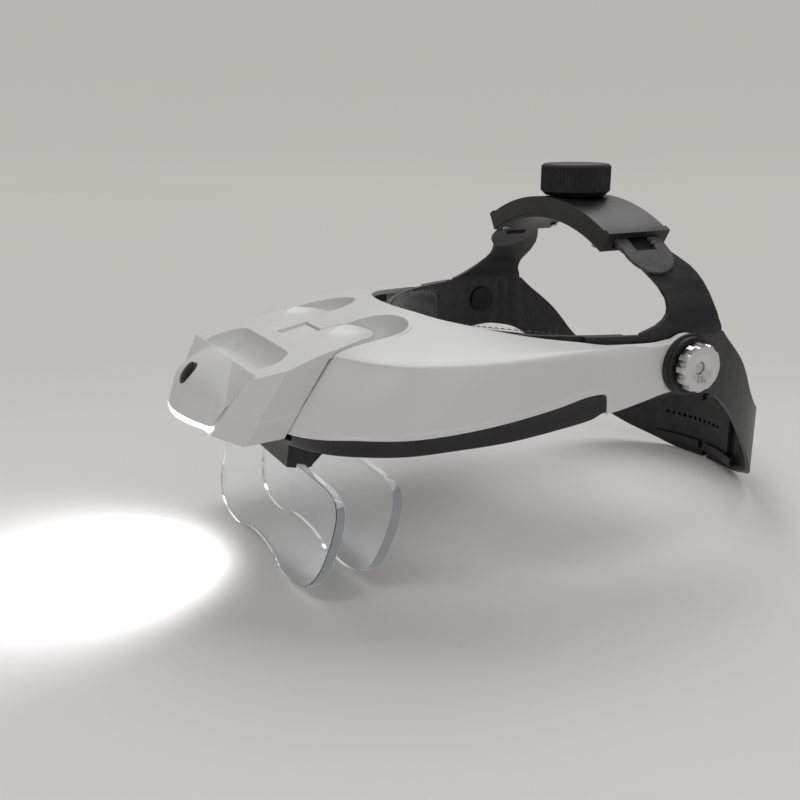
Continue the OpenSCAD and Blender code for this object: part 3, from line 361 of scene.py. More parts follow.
class Effect(Web):
    """A node group that several finishes share. Sockets named for a colour hold one, and others a value."""

    def __init__(self, name, title, inputs, outputs):
        super().__init__(bpy.data.node_groups.new(title, "ShaderNodeTree"))
        for label, default in inputs.items():
            self.socket(label, "INPUT").default_value = default
        for label in outputs:
            self.socket(label, "OUTPUT")
        self.given = self.tree.nodes.new("NodeGroupInput").outputs
        self.made = self.tree.nodes.new("NodeGroupOutput").inputs
        self.spot = self.add("TexCoord", out=3)
        GROUPS[name] = self.tree

    def give(self, label, value):
        self.put(self.made[label], value)

    def socket(self, label, way):
        kind = "NodeSocketColor" if "colour" in label.lower() else "NodeSocketFloat"
        return self.tree.interface.new_socket(name=label, in_out=way, socket_type=kind)


def build_effects():
    """The surface effects that several finishes share."""
    # Fine moulded grain over a slow unevenness
    web = Effect("grain", "Moulded grain",
                 {"Grain size": 1400.0, "Unevenness size": 45.0, "Smoothest": 0.4, "Roughest": 0.55,
                  "Sheet marks": 0.3}, ["Roughness", "Height", "Mottle"])
    fine = web.noise(web.spot, web.given["Grain size"], 3.0, 0.6)
    slow = web.noise(web.spot, web.given["Unevenness size"], 4.0, 0.55)
    marks = web.times(slow, web.given["Sheet marks"])
    both = web.sum("MULTIPLY_ADD", fine, 0.45, web.sum("MULTIPLY_ADD", slow, 0.4, marks))
    web.give("Roughness", web.band(both, 0.25, 0.85, web.given["Smoothest"], web.given["Roughest"]))
    web.give("Height", web.sum("MULTIPLY_ADD", fine, 0.6, web.times(slow, 0.4)))
    web.give("Mottle", web.band(slow, 0.35, 0.65))

    # Colour that handling has rubbed along the edges and dulled in patches. The lighter edges are partly a
    # painted highlight, most of all on the white shells
    web = Effect("handled", "Handled colour",
                 {"Colour": (0.8, 0.8, 0.8, 1), "Edge colour": (1, 1, 1, 1), "Edge wear": 0.4,
                  "Patch colour": (0.7, 0.7, 0.7, 1), "Patches": 0.15}, ["Colour"])
    edge = web.add("Attribute", out=2, settings={"attribute_name": "edge"})
    # Rubbed wear and painted highlight along the sharp edges
    worn_and_lit = web.times(edge, web.band(web.noise(web.spot, 260.0, 5.0, 0.7), 0.3, 0.62), web.given["Edge wear"])
    cloud = web.noise(web.spot, 32.0, 6.0, 0.62)
    patch = web.times(web.band(cloud, 0.42, 0.72), web.given["Patches"])
    base = web.blend(patch, web.given["Colour"], web.given["Patch colour"])
    web.give("Colour", web.blend(worn_and_lit, base, web.given["Edge colour"]))

    # Dust that settles on what faces up, in specks and a thin film
    web = Effect("dust", "Settled dust", {"Amount": 0.3, "Speck size": 900.0}, ["Dust"])
    facing = web.add("SeparateXYZ", out=2, Vector=web.add("TexCoord", out=1))
    up = web.band(facing, 0.25, 0.95)
    specks = web.add("TexVoronoi", Vector=web.spot, Scale=web.given["Speck size"])
    lone = web.band(specks, 0.0, 0.16, 1.0, 0.0)
    thin = web.noise(web.spot, 210.0, 6.0, 0.75)
    film = web.sum("MULTIPLY_ADD", lone, web.band(thin, 0.5, 0.62), web.band(thin, 0.45, 0.9, 0.0, 0.35))
    web.give("Dust", web.times(film, up, web.given["Amount"]))

    # Hair scratches in two directions
    web = Effect("scratches", "Hair scratches", {"Size": 60.0, "Amount": 0.4}, ["Scratch", "Height"])
    total = None
    for turn in ((0.3, 0.9, 0.5), (1.1, 0.2, 1.9)):
        turned = web.add("Mapping", Vector=web.spot, Rotation=turn, Scale=(1.0, 14.0, 14.0))
        lines = web.noise(turned, web.given["Size"], 2.0, 0.4)
        thin = web.band(web.sum("ABSOLUTE", web.sum("SUBTRACT", lines, 0.5)), 0.0, 0.012, 1.0, 0.0)
        total = thin if total is None else web.sum("MAXIMUM", total, thin)
    breaks = web.band(web.noise(web.spot, 90.0, 2.0), 0.5, 0.6)
    total = web.times(total, breaks, web.given["Amount"])
    web.give("Scratch", total)
    web.give("Height", web.sum("SUBTRACT", 1.0, total))

    # Rings that a lathe leaves round the side to side axis of the tilt pivots
    web = Effect("rings", "Turned rings", {"Rings": 2600.0}, ["Height"])
    spot = web.add("Mapping", Vector=web.spot, Location=-place((0, PIVOT_Y, PIVOT_Z)))
    flat = web.add("VectorMath", settings={"operation": "MULTIPLY"}, i0=spot, i1=(0.0, 1.0, 1.0))
    far = web.add("VectorMath", out=1, settings={"operation": "LENGTH"}, i0=flat)
    wave = web.sum("SINE", web.times(far, web.given["Rings"]))
    web.give("Height", web.band(wave, -1.0, 1.0))

    # Plain knitted cloth, loop by loop
    web = Effect("knit", "Knit", {"Loops": 900.0}, ["Height", "Shade"])
    warp = web.add("TexNoise", out=1, Vector=web.spot, Scale=300.0, Detail=2.0)
    bent = web.add("VectorMath", settings={"operation": "MULTIPLY_ADD"},
                   i0=warp, i1=(0.0006, 0.0006, 0.0006), i2=web.spot)
    loops = web.times(*[
        web.add("TexWave", settings={"wave_type": "BANDS", "bands_direction": direction},
                Vector=bent, Scale=web.given["Loops"]) for direction in ("X", "Z")])
    fuzz = web.noise(web.spot, 2600.0, 3.0)
    web.give("Height", web.sum("MULTIPLY_ADD", loops, 0.7, web.times(fuzz, 0.3)))
    web.give("Shade", web.band(loops, 0.0, 1.0, 0.6, 1.0))


FINISHES = {}
# Strength of the painted glow on the lenses' cut rims
PAINTED_RIM_LIGHT = 0.2
STEEL = (0.55, 0.55, 0.56)
FOAM = (0.05, 0.05, 0.052)
DUST = (0.62, 0.61, 0.6, 1.0)


class Finish:
    """One material, filed under its name: a Principled shader and the effects that lead into it."""

    def __init__(self, name, colour, roughness=0.5, **sockets):
        self.colour = (*colour, 1.0)
        self.material = FINISHES[name] = bpy.data.materials.new(name)
        self.material.use_nodes = True
        self.material.diffuse_color = self.colour
        self.tree = self.material.node_tree
        self.web = Web(self.tree)
        self.shader = self.tree.nodes["Principled BSDF"]
        self.shader.inputs["Base Color"].default_value = self.colour
        self.shader.inputs["Roughness"].default_value = roughness
        for key, value in sockets.items():
            self.shader.inputs[key.replace("_", " ")].default_value = value
        self.heights = []

    def effect(self, group, **values):
        """Adds one of the shared effects with these inputs. Gives its outputs by name."""
        node = self.tree.nodes.new("ShaderNodeGroup")
        node.node_tree = GROUPS[group]
        for key, value in values.items():
            self.web.put(node.inputs[key.replace("_", " ")], value)
        return node.outputs

    def lead(self, socket, value):
        self.tree.links.new(value, self.shader.inputs[socket])

    def bump(self, height, strength, distance):
        """Adds a relief. Distance in millimetres."""
        node = self.tree.nodes.new("ShaderNodeBump")
        node.inputs["Strength"].default_value = strength
        node.inputs["Distance"].default_value = distance * MM
        self.tree.links.new(height, node.inputs["Height"])
        if self.heights:
            self.tree.links.new(self.heights[-1], node.inputs["Normal"])
        self.heights.append(node.outputs["Normal"])
        self.lead("Normal", self.heights[-1])


def shade(colour, k):
    """The colour made lighter or darker, with its alpha."""
    return tuple(clamp(c * k) for c in colour[:3]) + (1.0,)


def plastic(name, colour, smoothest, roughest, edge, wear_and_highlight, dust, grain=1400.0, relief=0.02, patches=0.12,
            **sockets):
    """A moulded plastic: grain, slow unevenness, rubbed edges, settled dust and a few scratches."""
    finish = Finish(name, colour, (smoothest + roughest) / 2, **sockets)
    web = finish.web
    grains = finish.effect("grain", Grain_size=grain, Smoothest=smoothest, Roughest=roughest)
    handled = finish.effect("handled", Colour=finish.colour, Edge_colour=edge, Edge_wear=wear_and_highlight,
                            Patch_colour=shade(colour, 0.94 if max(colour) > 0.3 else 1.2), Patches=patches)
    settled = finish.effect("dust", Amount=dust)
    scratch = finish.effect("scratches", Size=55.0, Amount=0.35)
    finish.lead("Base Color", web.blend(settled["Dust"], handled["Colour"], DUST))
    rough = web.sum("ADD", grains["Roughness"], web.times(settled["Dust"], 0.5))
    finish.lead("Roughness", web.sum("ADD", rough, web.times(scratch["Scratch"], 0.25)))
    finish.bump(grains["Height"], 0.35, relief)
    finish.bump(scratch["Height"], 0.25, 0.01)


def metal(name, colour, smoothest, roughest, rings=0.0):
    """A bare metal: fine grain, dulled patches, scratches and, on a lathe's work, turned rings."""
    finish = Finish(name, colour, (smoothest + roughest) / 2, Metallic=1.0)
    grains = finish.effect("grain", Grain_size=2400.0, Unevenness_size=120.0,
                           Smoothest=smoothest, Roughest=roughest)
    handled = finish.effect("handled", Colour=finish.colour, Edge_colour=shade(colour, 1.1), Edge_wear=0.5,
                            Patch_colour=shade(colour, 0.82), Patches=0.3)
    scratch = finish.effect("scratches", Size=80.0, Amount=0.5)
    finish.lead("Base Color", handled["Colour"])
    rough = finish.web.times(scratch["Scratch"], 0.3)
    finish.lead("Roughness", finish.web.sum("ADD", grains["Roughness"], rough))
    finish.bump(scratch["Height"], 0.3, 0.01)
    if rings:
        turned = finish.effect("rings", Rings=rings)
        finish.bump(turned["Height"], 0.25, 0.02)
    return finish


def stud(name, colour, inner_colour, inner_to):
    """Bare metal outside, and painted dark up to this distance from the middle, in millimetres."""
    finish = metal(name, colour, 0.22, 0.38)
    web = finish.web
    bare = finish.shader.inputs["Base Color"].links[0].from_socket
    out = web.sum("ABSOLUTE", web.add("SeparateXYZ", Vector=web.add("TexCoord", out=3)))
    shown = web.sum("GREATER_THAN", out, inner_to * MM)
    finish.lead("Base Color", web.blend(shown, (*inner_colour, 1.0), bare))


def acrylic(name, tint):
    """Clear cast acrylic, faintly smeared by fingers."""
    finish = Finish(name, tint, 0.02, IOR=1.49, Metallic=0.0)
    finish.shader.inputs["Transmission Weight"].default_value = 1.0
    smear = finish.effect("grain", Grain_size=260.0, Unevenness_size=38.0, Smoothest=0.0, Roughest=0.05)
    finish.lead("Roughness", smear["Roughness"])
    scratch = finish.effect("scratches", Size=40.0, Amount=0.25)
    finish.bump(scratch["Height"], 0.1, 0.005)
    # Painted light: the cut rim glows faintly, standing in for the bright light its edges catch
    rim = finish.web.add("Attribute", out="Fac", settings={"attribute_name": "rim"})
    finish.lead("Emission Strength", finish.web.times(rim, PAINTED_RIM_LIGHT))
    finish.shader.inputs["Emission Color"].default_value = (0.9, 0.93, 0.95, 1.0)


def fabric(name, colour):
    """A knitted cloth with a soft sheen."""
    finish = Finish(name, colour, 0.9, Sheen_Weight=0.35, Sheen_Roughness=0.5)
    knit = finish.effect("knit", Loops=360.0)
    handled = finish.effect("handled", Colour=finish.colour, Edge_colour=shade(colour, 1.6), Edge_wear=0.3,
                            Patch_colour=shade(colour, 1.5), Patches=0.35)
    finish.lead("Base Color", finish.web.blend(1.0, handled["Colour"], knit["Shade"], "MULTIPLY"))
    finish.lead("Roughness", finish.web.band(knit["Height"], 0.0, 1.0, 0.98, 0.8))
    finish.bump(knit["Height"], 0.7, 0.25)


def glowing(name, colour, strength):
    """A lit window or lamp."""
    finish = Finish(name, colour, 0.3, Emission_Strength=strength)
    grains = finish.effect("grain", Grain_size=600.0, Smoothest=0.2, Roughest=0.4)
    finish.lead("Roughness", grains["Roughness"])
    finish.lead("Emission Color", finish.web.blend(grains["Mottle"], finish.colour, shade(colour, 0.93)))


def build_finishes(look):
    build_effects()
    black, white = tuple(look.harness), tuple(look.shell)
    dull_edge = (0.12, 0.12, 0.125, 1.0)
    # The white shells' near-white edge colour is a painted highlight on their rounded edges
    plastic("white_plastic", white, 0.3, 0.42, (0.93, 0.93, 0.93, 1), 0.5, 0.12,
            grain=900.0, relief=0.012, patches=0.2, Specular_IOR_Level=0.5)
    plastic("harness_plastic", black, 0.34, 0.45, dull_edge, 0.35, 0.05, Specular_IOR_Level=0.45)
    plastic("tongue_plastic", shade(black, 9)[:3], 0.45, 0.6, (0.2, 0.2, 0.205, 1), 0.5, 0.12)
    plastic("knob_plastic", shade(black, 0.8)[:3], 0.42, 0.55, dull_edge, 0.35, 0.08,
            Specular_IOR_Level=0.35)
    plastic("trim_plastic", tuple(look.trim), 0.32, 0.42, dull_edge, 0.35, 0.04,
            relief=0.015, Specular_IOR_Level=0.4)
    plastic("rivet_plastic", shade(black, 1.6)[:3], 0.4, 0.5, dull_edge, 0.4, 0.1)
    plastic("friction_plastic", shade(black, 0.8)[:3], 0.4, 0.5, dull_edge, 0.3, 0.04,
            Specular_IOR_Level=0.35)
    plastic("tray_plastic", shade(black, 2.0)[:3], 0.5, 0.6, dull_edge, 0.3, 0.1)
    plastic("liner_foam", FOAM, 0.85, 0.95, dull_edge, 0.2, 0.05, grain=700.0, relief=0.12)
    plastic("board", (0.78, 0.79, 0.77), 0.4, 0.55, (0.9, 0.9, 0.9, 1), 0.2, 0.0)
    plastic("cell_wrap", (0.05, 0.13, 0.3), 0.25, 0.35, (0.5, 0.55, 0.6, 1), 0.4, 0.0)
    metal("steel", STEEL, 0.22, 0.38)
    stud("stud_metal", STEEL, (0.035, 0.035, 0.036), 86.0)
    metal("bright_metal", (0.66, 0.66, 0.655), 0.2, 0.34, rings=9000.0)
    metal("brass", (0.62, 0.55, 0.4), 0.25, 0.4)
    metal("contact_metal", (0.7, 0.66, 0.55), 0.2, 0.35)
    metal("reflector_metal", (0.9, 0.9, 0.9), 0.05, 0.15)
    acrylic("clear_acrylic", (0.97, 0.985, 0.99))
    fabric("pad_fabric", (0.012, 0.012, 0.0125))
    glowing("window_clear", (1.0, 1.0, 0.98), look.glow)
    glowing("led_glow", (1.0, 0.97, 0.88), look.glow * 2)


# Visor: the same curves as its solid, drawn finely. Each table of heights is a line of
# [distance ahead of Y = 0, height]
HALF_W, NOSE_FROM, NOSE_L, CREASE_BACK = 81.0, 62.0, 97.0, 20.0
EDGE_HALF, EDGE_FRONT, SHELL = 78.8, 94.5, 2.2
EDGE_Z = [[0, 91.4], [8, 91], [19, 89.9], [34, 89.9], [47, 91.4], [59, 92.7], [74, 95.1], [81, 96.3],
          [87, 97.3], [92, 98.6], [95, 99]]
TRIM_TOP = [[0, 73.4], [47, 73.4], [63, 70.8], [85, 67.9], [106, 65.9], [124, 64.7], [138, 64.5],
            [149, 63], [154, 62.3], [160, 61.6]]
TRIM_LOW = [[0, 65.6], [41, 65.6], [47.5, 63.5], [63, 61.7], [85, 60], [106, 59.4], [124, 58.3],
            [138, 58], [148, 57.6], [160, 57.6]]
SIDE_LOW = [[0, 69.6], [25, 69.3], [50, 71.3], [63, 70.8], [85, 67.9], [106, 65.9], [124, 64.7], [138, 64.5],
            [149, 63], [160, 61.6]]
ARM_LOW = [[0, 69.5], [8, 69.9], [24, 67.3], [36.6, 65.2], [45, 64.6]]
ARM_STATIONS = [0, 4, 8, 12, 16, 20, 24, 28, 32, 36, 39, 40.4, 40.6, 40.9, 41.3, 41.9, 42.6, 43.4, 44.2,
                46, 49, 52, 55, 58, 60]
TRIM_STATIONS = [41, 41.15, 41.5, 42.1, 42.8, 43.5, 44.3, 47, 50, 54, 58]
NOSE_ANGLES = [90 * (i / 44) ** 1.15 for i in range(45)]
EDGE_FROM = math.degrees(math.asin(NOSE_FROM / EDGE_FRONT))
LIP_FROM, TRIM_FROM = 40.6, 41
TRIM_GAP, TRIM_WALL, FLANGE = 0.25, 2.2, 2
# Posts for the trim's screws: x, y and top. Screws of the hinge block: x and y
POST_R, PAD_R = 3, 3.5
POSTS = [(69, -112, 82), (50, -138, 75)]
BLOCK_SCREWS = [(10.8, -132.6), (20, -152)]
BOWL, BOWL_R, BOWL_REACH, BOWL_WALL = (25.5, -113.5, 99.5), 14.5, 17, 1.8
BOSS_R, BORE_R = 12.0, 2.55
TONGUE_HALF, EAR_REAR, EAR_R = 8.4, -113.5, 14.2
EAR_X, EAR_Y = TONGUE_HALF + EAR_R, EAR_REAR - EAR_R
SEAM = [(-156.6, 61.9), (-134.6, 90.6)]


def low_line(q):
    """Plan of the shell's lower line round the nose, from the side at 0 to the middle at 90."""
    return Vector((HALF_W * power(cos_d(q), 2 / 3), -NOSE_FROM - NOSE_L * power(sin_d(q), 2 / 3)))


def crease_line(q):
    """Plan of the crease between side and top."""
    return Vector(((HALF_W - 0.7) * power(cos_d(q), 1 / 1.4),
                   -NOSE_FROM - (NOSE_L - CREASE_BACK) * power(sin_d(q), 1 / 1.4)))


def out_line(q):
    """The way that faces out from the lower line."""
    return Vector((power(cos_d(q), 4 / 3) / HALF_W, -power(sin_d(q), 4 / 3) / NOSE_L)).normalized()


def corner_dip(d, r=3.0):
    """How far a strip that starts at 0 is cut away by its rounded corner."""
    return r - math.sqrt(max(0.0, r * r - (r - clamp(d, 0, r)) ** 2))


def both_halves(half):
    """Follows the stations of one half with their mirror images, back from the nose."""
    flip = Vector((-1, 1))
    return half + [[v * flip if isinstance(v, Vector) else v for v in h] for h in reversed(half[:-1])]


def visor_stations():
    """[low, crease, edge, outward, foot, crease height] from one arm's end round to the other."""
    half = []
    for d in ARM_STATIONS:
        y = -d
        edge = Vector((EDGE_HALF * math.sqrt(1 - (d / EDGE_FRONT) ** 2), y))
        foot = steady(d, ARM_LOW)
        if d > LIP_FROM - 0.1:
            foot = steady(d, TRIM_TOP) + 0.1 - corner_dip(d - LIP_FROM)
        half.append([Vector((HALF_W - 0.1, y)), Vector((HALF_W - 0.7, y)), edge, Vector((1, 0)), foot,
                     steady(d, [[0, 88.9], [34, 88.7], [62, 89.5]])])
    for q in NOSE_ANGLES:
        b = mix(EDGE_FROM, 90, q / 90)
        p = low_line(q)
        half.append([p, crease_line(q), Vector((EDGE_HALF * cos_d(b), -EDGE_FRONT * sin_d(b))), out_line(q),
                     steady(-p.y, TRIM_TOP) + 0.1, 89.5])
    return both_halves(half)


def up(v, z):
    return Vector((v.x, v.y, z))


def visor_section(low, crease, edge, out, foot, crease_z):
    """One section through the shell: the lip at its foot, its outside, and its inside back down."""
    t = SHELL
    edge_z = steady(-edge.y, EDGE_Z)
    run = (crease - edge).length
    k = ease((run - 2.5) / 3)
    crown = k * min(1.1, run / 30)
    lip = ease((-low.y - LIP_FROM) / 1.5)
    shelf = crease - out * 2.4 * k
    low_in, crease_in = low - out * t, crease - out * t
    thin = t * min(1, 0.35 + run / 9)
    belly = out * 1.3 * (1 - abs(out.x))
    middle = mix(steady(-low.y, SIDE_LOW), crease_z, 0.5)
    outside = flowing([
        up(low, foot + 1.7), up(low.lerp(crease, 0.45) + belly, middle),
        up(low.lerp(crease, 0.93), crease_z - 2.4), up(shelf, crease_z + 0.9 * k + 0.02),
        up(crease.lerp(edge, 0.5), mix(crease_z, edge_z, 0.5) + crown),
        up(shelf.lerp(edge, 0.93), edge_z + 0.1 * k + 0.01), up(edge, edge_z - 0.3)], 5)
    inside = flowing([
        up(edge, edge_z - thin), up(crease_in.lerp(edge, 0.5), mix(crease_z, edge_z, 0.5) + crown - thin),
        up(crease_in.lerp(shelf, 0.4), crease_z - thin),
        up(low_in.lerp(crease_in, 0.9), crease_z - thin - 1.6),
        up(low_in.lerp(crease_in, 0.45) + belly, middle), up(low_in, foot)], 3)
    rim = [up(low + out * 0.85 * lip, foot), up(low + out * 0.85 * lip, foot + 0.6 * lip),
           up(low + out * 0.3 * lip, foot + 1.05 * lip + 0.1)]
    return rim + outside + inside


def ear_outline(g):
    """Plan of the two ears and the notch between them for the visor's tongue, larger by g all round."""
    half = [(41 + g, -160), (38.5 + g, -141)]
    half += [(EAR_X + (EAR_R + g) * cos_d(a), EAR_Y + (EAR_R + g) * sin_d(a)) for a in range(0, 181, 6)]
    half += [(TONGUE_HALF - g, -127.5 - 0.6 + g)]
    return half + [(-x, y) for x, y in reversed(half)]


def bowl(name, side, spare):
    """A finger bowl's ball and the way forward from it, larger by the spare."""
    return capsule(name, (side * BOWL[0], BOWL[1], BOWL[2]), BOWL_R + spare, BOWL_REACH, "y")


def build_visor(sizes):
    shell = loft("visor_shell_piece", [visor_section(*h) for h in visor_stations()])
    wedge = [(-131, 80), (-90, 80), (-95, 97.6), (-100, 96.6), (-113.5, 94), (-131, 90)]
    for s in (1, -1):
        wall = bowl("wall", s, BOWL_WALL)
        combine(wall, slab("wedge", wedge, "x", -45, 45), "INTERSECT")
        combine(shell, wall, "UNION")
        combine(shell, barrel("boss", BOSS_R, s * 77.9, s * 81.0, 96), "UNION")
        for x, y, top in POSTS:
            combine(shell, post("post", POST_R, s * x, y, steady(-y, TRIM_LOW) + 2.3, top), "UNION")
    for s in (1, -1):
        combine(shell, bowl("bowl", s, 0))
        combine(shell, barrel("bore", BORE_R, s * 70, s * 90, 32))
        for x, y, top in POSTS:
            drill(shell, s * x, y)
    # The nose ends at the hood's seam, and makes room for the battery tray and the hood's ears
    ahead = [(-200, 50), (SEAM[0][0], 50), SEAM[0], SEAM[1], (SEAM[1][0], 120), (-200, 120)]
    combine(shell, slab("seam", ahead, "x", -60, 60))
    tray = [(-145, 87.6), (-137.2, 87.6), (-133.4, 83.2), (-133.9, 75), (-145, 75)]
    combine(shell, slab("tray_room", tray, "x", -26.05, 26.05))
    combine(shell, slab("ears", ear_outline(0.4), "z", lambda p: 92.3 + (p[1] + 113) * 0.194, 120))
    soften(shell, sizes.edge, 40)
    complete(shell, "visor", "white_plastic", ["visor_shell"])
    moulded("visor_liner", "visor", "liner_foam", 0.3, smooth=50)


def trim_stations():
    """[low, outward, flange] along the strip. Its flange is widest round the nose."""
    half = [[Vector((HALF_W, -d)), Vector((1, 0)), 0.4] for d in TRIM_STATIONS]
    half += [[low_line(q), out_line(q), mix(0.4, 9.8, min(1, q / 25))] for q in NOSE_ANGLES]
    return both_halves(half)


def trim_section(low, out, flange):
    """One section through the strip and the flange inside its foot."""
    o = low + out * TRIM_GAP
    d = -o.y
    top = steady(d, TRIM_TOP) - TRIM_GAP - corner_dip(d - TRIM_FROM)
    foot = steady(d, TRIM_LOW)
    inner = o - out * TRIM_WALL
    deep = inner - out * flange
    return [up(o, foot + 0.5), up(o + out * 0.12, mix(foot, top, 0.5)), up(o, top), up(inner, top),
            up(inner, foot + FLANGE), up(deep, foot + FLANGE), up(deep, foot), up(o - out * 0.5, foot)]


def build_trim(sizes):
    trim = loft("lower_trim_piece", [trim_section(*h) for h in trim_stations()])
    combine(trim, slab("step", [(-200, 59.6), (-146, 59.6), (-134, 75), (-200, 75)], "x", -41.8, 41.8))
    cross_plate = [(-24, -156), (24, -156), (24, -129), (-24, -129)]
    combine(trim, slab("cross_plate", cross_plate, "z", 57.6, 59.6), "UNION")
    for s in (1, -1):
        for x, y, top in POSTS:
            foot = steady(-y, TRIM_LOW)
            combine(trim, post("pad", PAD_R, s * x, y, foot - 0.5, foot + FLANGE), "UNION")
            drill(trim, s * x, y)
        for x, y in BLOCK_SCREWS:
            drill(trim, s * x, y)
    soften(trim, 0.3, 40)
    complete(trim, "visor", "trim_plastic", ["lower_trim"])
    moulded("trim_screws", "visor", "steel", 0.15)


# Lamp hood, and the sloping joint where its front meets the lamp head
GRIP, GRIP_R, GRIP_END, GRIP_WALL = (-158.6, 89.6), 10.6, 21, 1.6
LEDGE_AT = 0.705
RIDGE_Y, RIDGE_Z = -166.6, 85.8
FRONT_SLOPE = math.atan2(13.9, 23.5)
HEAD_SCREWS = [(13.5, 10), (-13.5, 10)]


def hood_rings():
    """The hood's rings from its front edge back. Below a thin ledge its sides stand out a little."""
    lines = [((35.3, -168.3, 82.9), (26, -181, 61.2), 0.0, (23, -166.6, 85.8)),
             ((37.6, -161.4, 84.6), (34.75, -177.5, 61.1), 0.0, (24, -160.3, 86.95)),
             ((39.9, -154.6, 86.1), (43.5, -174, 61), 0.0, (25, -154, 88.1)),
             ((39.85, -154.2, 86.2), (43.45, -173.6, 61), 0.5, (25, -153.6, 88.17)),
             ((38.6, -142, 90.0), (41.7, -162.8, 61), 0.5, (27, -142, 90.15)),
             ((37.8, -135.1, 91.3), (41, -157.4, 61), 0.5, (28, -135.1, 91.32))]
    rings = []
    for a, b, ledge, shoulder in lines:
        a, b = Vector(a), Vector(b)
        side = [Vector(shoulder)]
        for t in (0, 0.12, 0.25, 0.4, 0.55, 0.68, 0.70, 0.712, 0.85, 1.0):
            p = a.lerp(b, t)
            if t > LEDGE_AT:
                p = p + Vector((ledge, 0, 0))
            side.append(p)
        rings.append(side + [p * Vector((-1, 1, 1)) for p in reversed(side)])
    return rings


def dish(name, centre, radius, reach):
    """The lower cap of a large ball, up to this many degrees from its lowest point."""
    rings = []
    for a in [reach * k / 24 for k in range(25)]:
        r, z = radius * sin_d(a), centre[2] - radius * cos_d(a)
        rings.append([(centre[0] + r * cos_d(c), centre[1] + r * sin_d(c), z) for c in turns(90)])
    return loft(name, rings)


def front_point(x, along, lift):
    """A point by the sloping joint between hood and lamp head: so far down it, and so far ahead."""
    return Vector((x, RIDGE_Y - math.sin(FRONT_SLOPE) * along - math.cos(FRONT_SLOPE) * lift,
                   RIDGE_Z - math.cos(FRONT_SLOPE) * along + math.sin(FRONT_SLOPE) * lift))


def front_window(name, half_w, start, finish):
    """A square tool that opens the hood's front between two distances down the joint."""
    corners = ((start, -6), (finish, -6), (finish, 6), (start, 6))
    return loft(name, [[front_point(x, along, lift) for along, lift in corners] for x in (-half_w, half_w)])


def front_hole(name, x, along):
    """A tool for a pilot hole square to the sloping joint."""
    return loft(name, [[front_point(x + PILOT_R * cos_d(a), along + PILOT_R * sin_d(a), lift)
                        for a in turns(24)] for lift in (-6, 6)])


def grip(name, spare):
    """The finger grip across the hood, larger by the spare."""
    return capsule(name, (-GRIP_END, *GRIP), GRIP_R + spare, 2 * GRIP_END, "x", True)


def build_hood(sizes):
    hood = loft("lamp_hood_piece", hood_rings())
    soften(hood, sizes.fold, 14, 3)
    inner = [((34.2, -164, 84), (23.6, -181.8, 56)), ((38.1, -153.8, 86.3), (42.4, -176.5, 56)),
             ((36, -130, 90.6), (40.1, -150, 56))]
    sides = [[Vector(a).lerp(Vector(b), t / 6) for t in range(7)] for a, b in inner]
    hollow = loft("hollow", [side + [p * Vector((-1, 1, 1)) for p in reversed(side)] for side in sides])
    combine(hollow, grip("grip_wall", GRIP_WALL))
    combine(hood, hollow)
    ears = slab("ears", ear_outline(0), "z",
                lambda p: 87.4 + (p[1] + 141) * 0.1965, lambda p: 90 + (p[1] + 141) * 0.2105)
    behind = [(-141, 80), (-100, 80), (-100, 110), (-141, 110)]
    combine(ears, slab("behind", behind, "x", -60, 60), "INTERSECT")
    combine(hood, ears, "UNION")
    combine(hood, grip("grip", 0))
    for s, (x, along) in zip((1, -1), HEAD_SCREWS):
        combine(hood, dish("dish", (s * 24, -125.5, 126.6), 35, 44))
        combine(hood, front_hole("hole", x, along))
    channel = [(-141, 100), (-141, 88.9), (-120, 93.5), (-120, 100)]
    combine(hood, slab("channel", channel, "x", -TONGUE_HALF, TONGUE_HALF))
    combine(hood, front_window("wire_way", 8, 3, 20))
    combine(hood, front_window("lamp_way", 17.5, 15, 24))
    soften(hood, sizes.edge, 38)
    complete(hood, "lamp", "white_plastic", ["lamp_hood"])


# Lamp head: a bulged front between a straight ridge and a curved foot
RIDGE_HALF, FOOT_HALF, BULGE, HEAD_WALL = 36, 26, 6.3, 1.7
SWITCH_AT, SWITCH_TILT, SWITCH_HOLE_R = Vector((0, -180.6, 79)), 35, 5.05


def head_point(u, v):
    """A point of the front, u from side to side and v from ridge to foot."""
    crease = min(1, 0.4 + v)
    s = min(1, abs(u) / crease)
    bulge = BULGE * sin_d(180 * v**0.72) ** 1.25 * max(0, 1 - s * s) ** 0.8
    top = Vector((RIDGE_HALF * u, RIDGE_Y - 0.5, RIDGE_Z))
    foot = Vector((FOOT_HALF * u, -180.9 - 7.1 * (1 - u * u), 64.6 + 1.2 * (1 - u * u)))
    return top.lerp(foot, v) + Vector((0, -bulge * 0.95, bulge * 0.3))


def build_lamp_head(sizes):
    head = loft("lamp_head_piece", [[head_point(i / 48 - 1, j / 60) for j in range(61)] for i in range(97)],
                closed=False)
    face_outwards(head)
    if sum(p.normal.y for p in head.data.polygons) > 0:
        in_edit_mode(head, bpy.ops.mesh.flip_normals)
    modify(head, "SOLIDIFY", thickness=HEAD_WALL * MM, offset=-1, use_even_offset=True)
    ahead = Vector((0, -cos_d(SWITCH_TILT), sin_d(SWITCH_TILT)))
    side, rise = Vector((1, 0, 0)), Vector((0, sin_d(SWITCH_TILT), cos_d(SWITCH_TILT)))
    combine(head, loft("switch_hole", [[
        SWITCH_AT + ahead * h + (side * cos_d(a) + rise * sin_d(a)) * SWITCH_HOLE_R for a in turns(48)]
        for h in (-9, 12)]))
    soften(head, 0.45, 40, 3)
    complete(head, "lamp", "white_plastic", ["lamp_head"])


def build_lamp_inside(sizes):
    moulded("lamp_window", "lamp", "window_clear", 0.15)
    moulded("switch_button", "switch", "knob_plastic", 0.5, segments=3)
    moulded("switch_body", "lamp", "tray_plastic", 0.2)
    moulded("led_board", "lamp", "board", 0.1)
    moulded("leds", "lamp", "led_glow", 0.1)
    moulded("reflector", "lamp", "reflector_metal", 0.1)
    moulded("lamp_contacts", "lamp", "contact_metal", 0.05)
    moulded("lamp_head_screws", "lamp", "steel", 0.12)


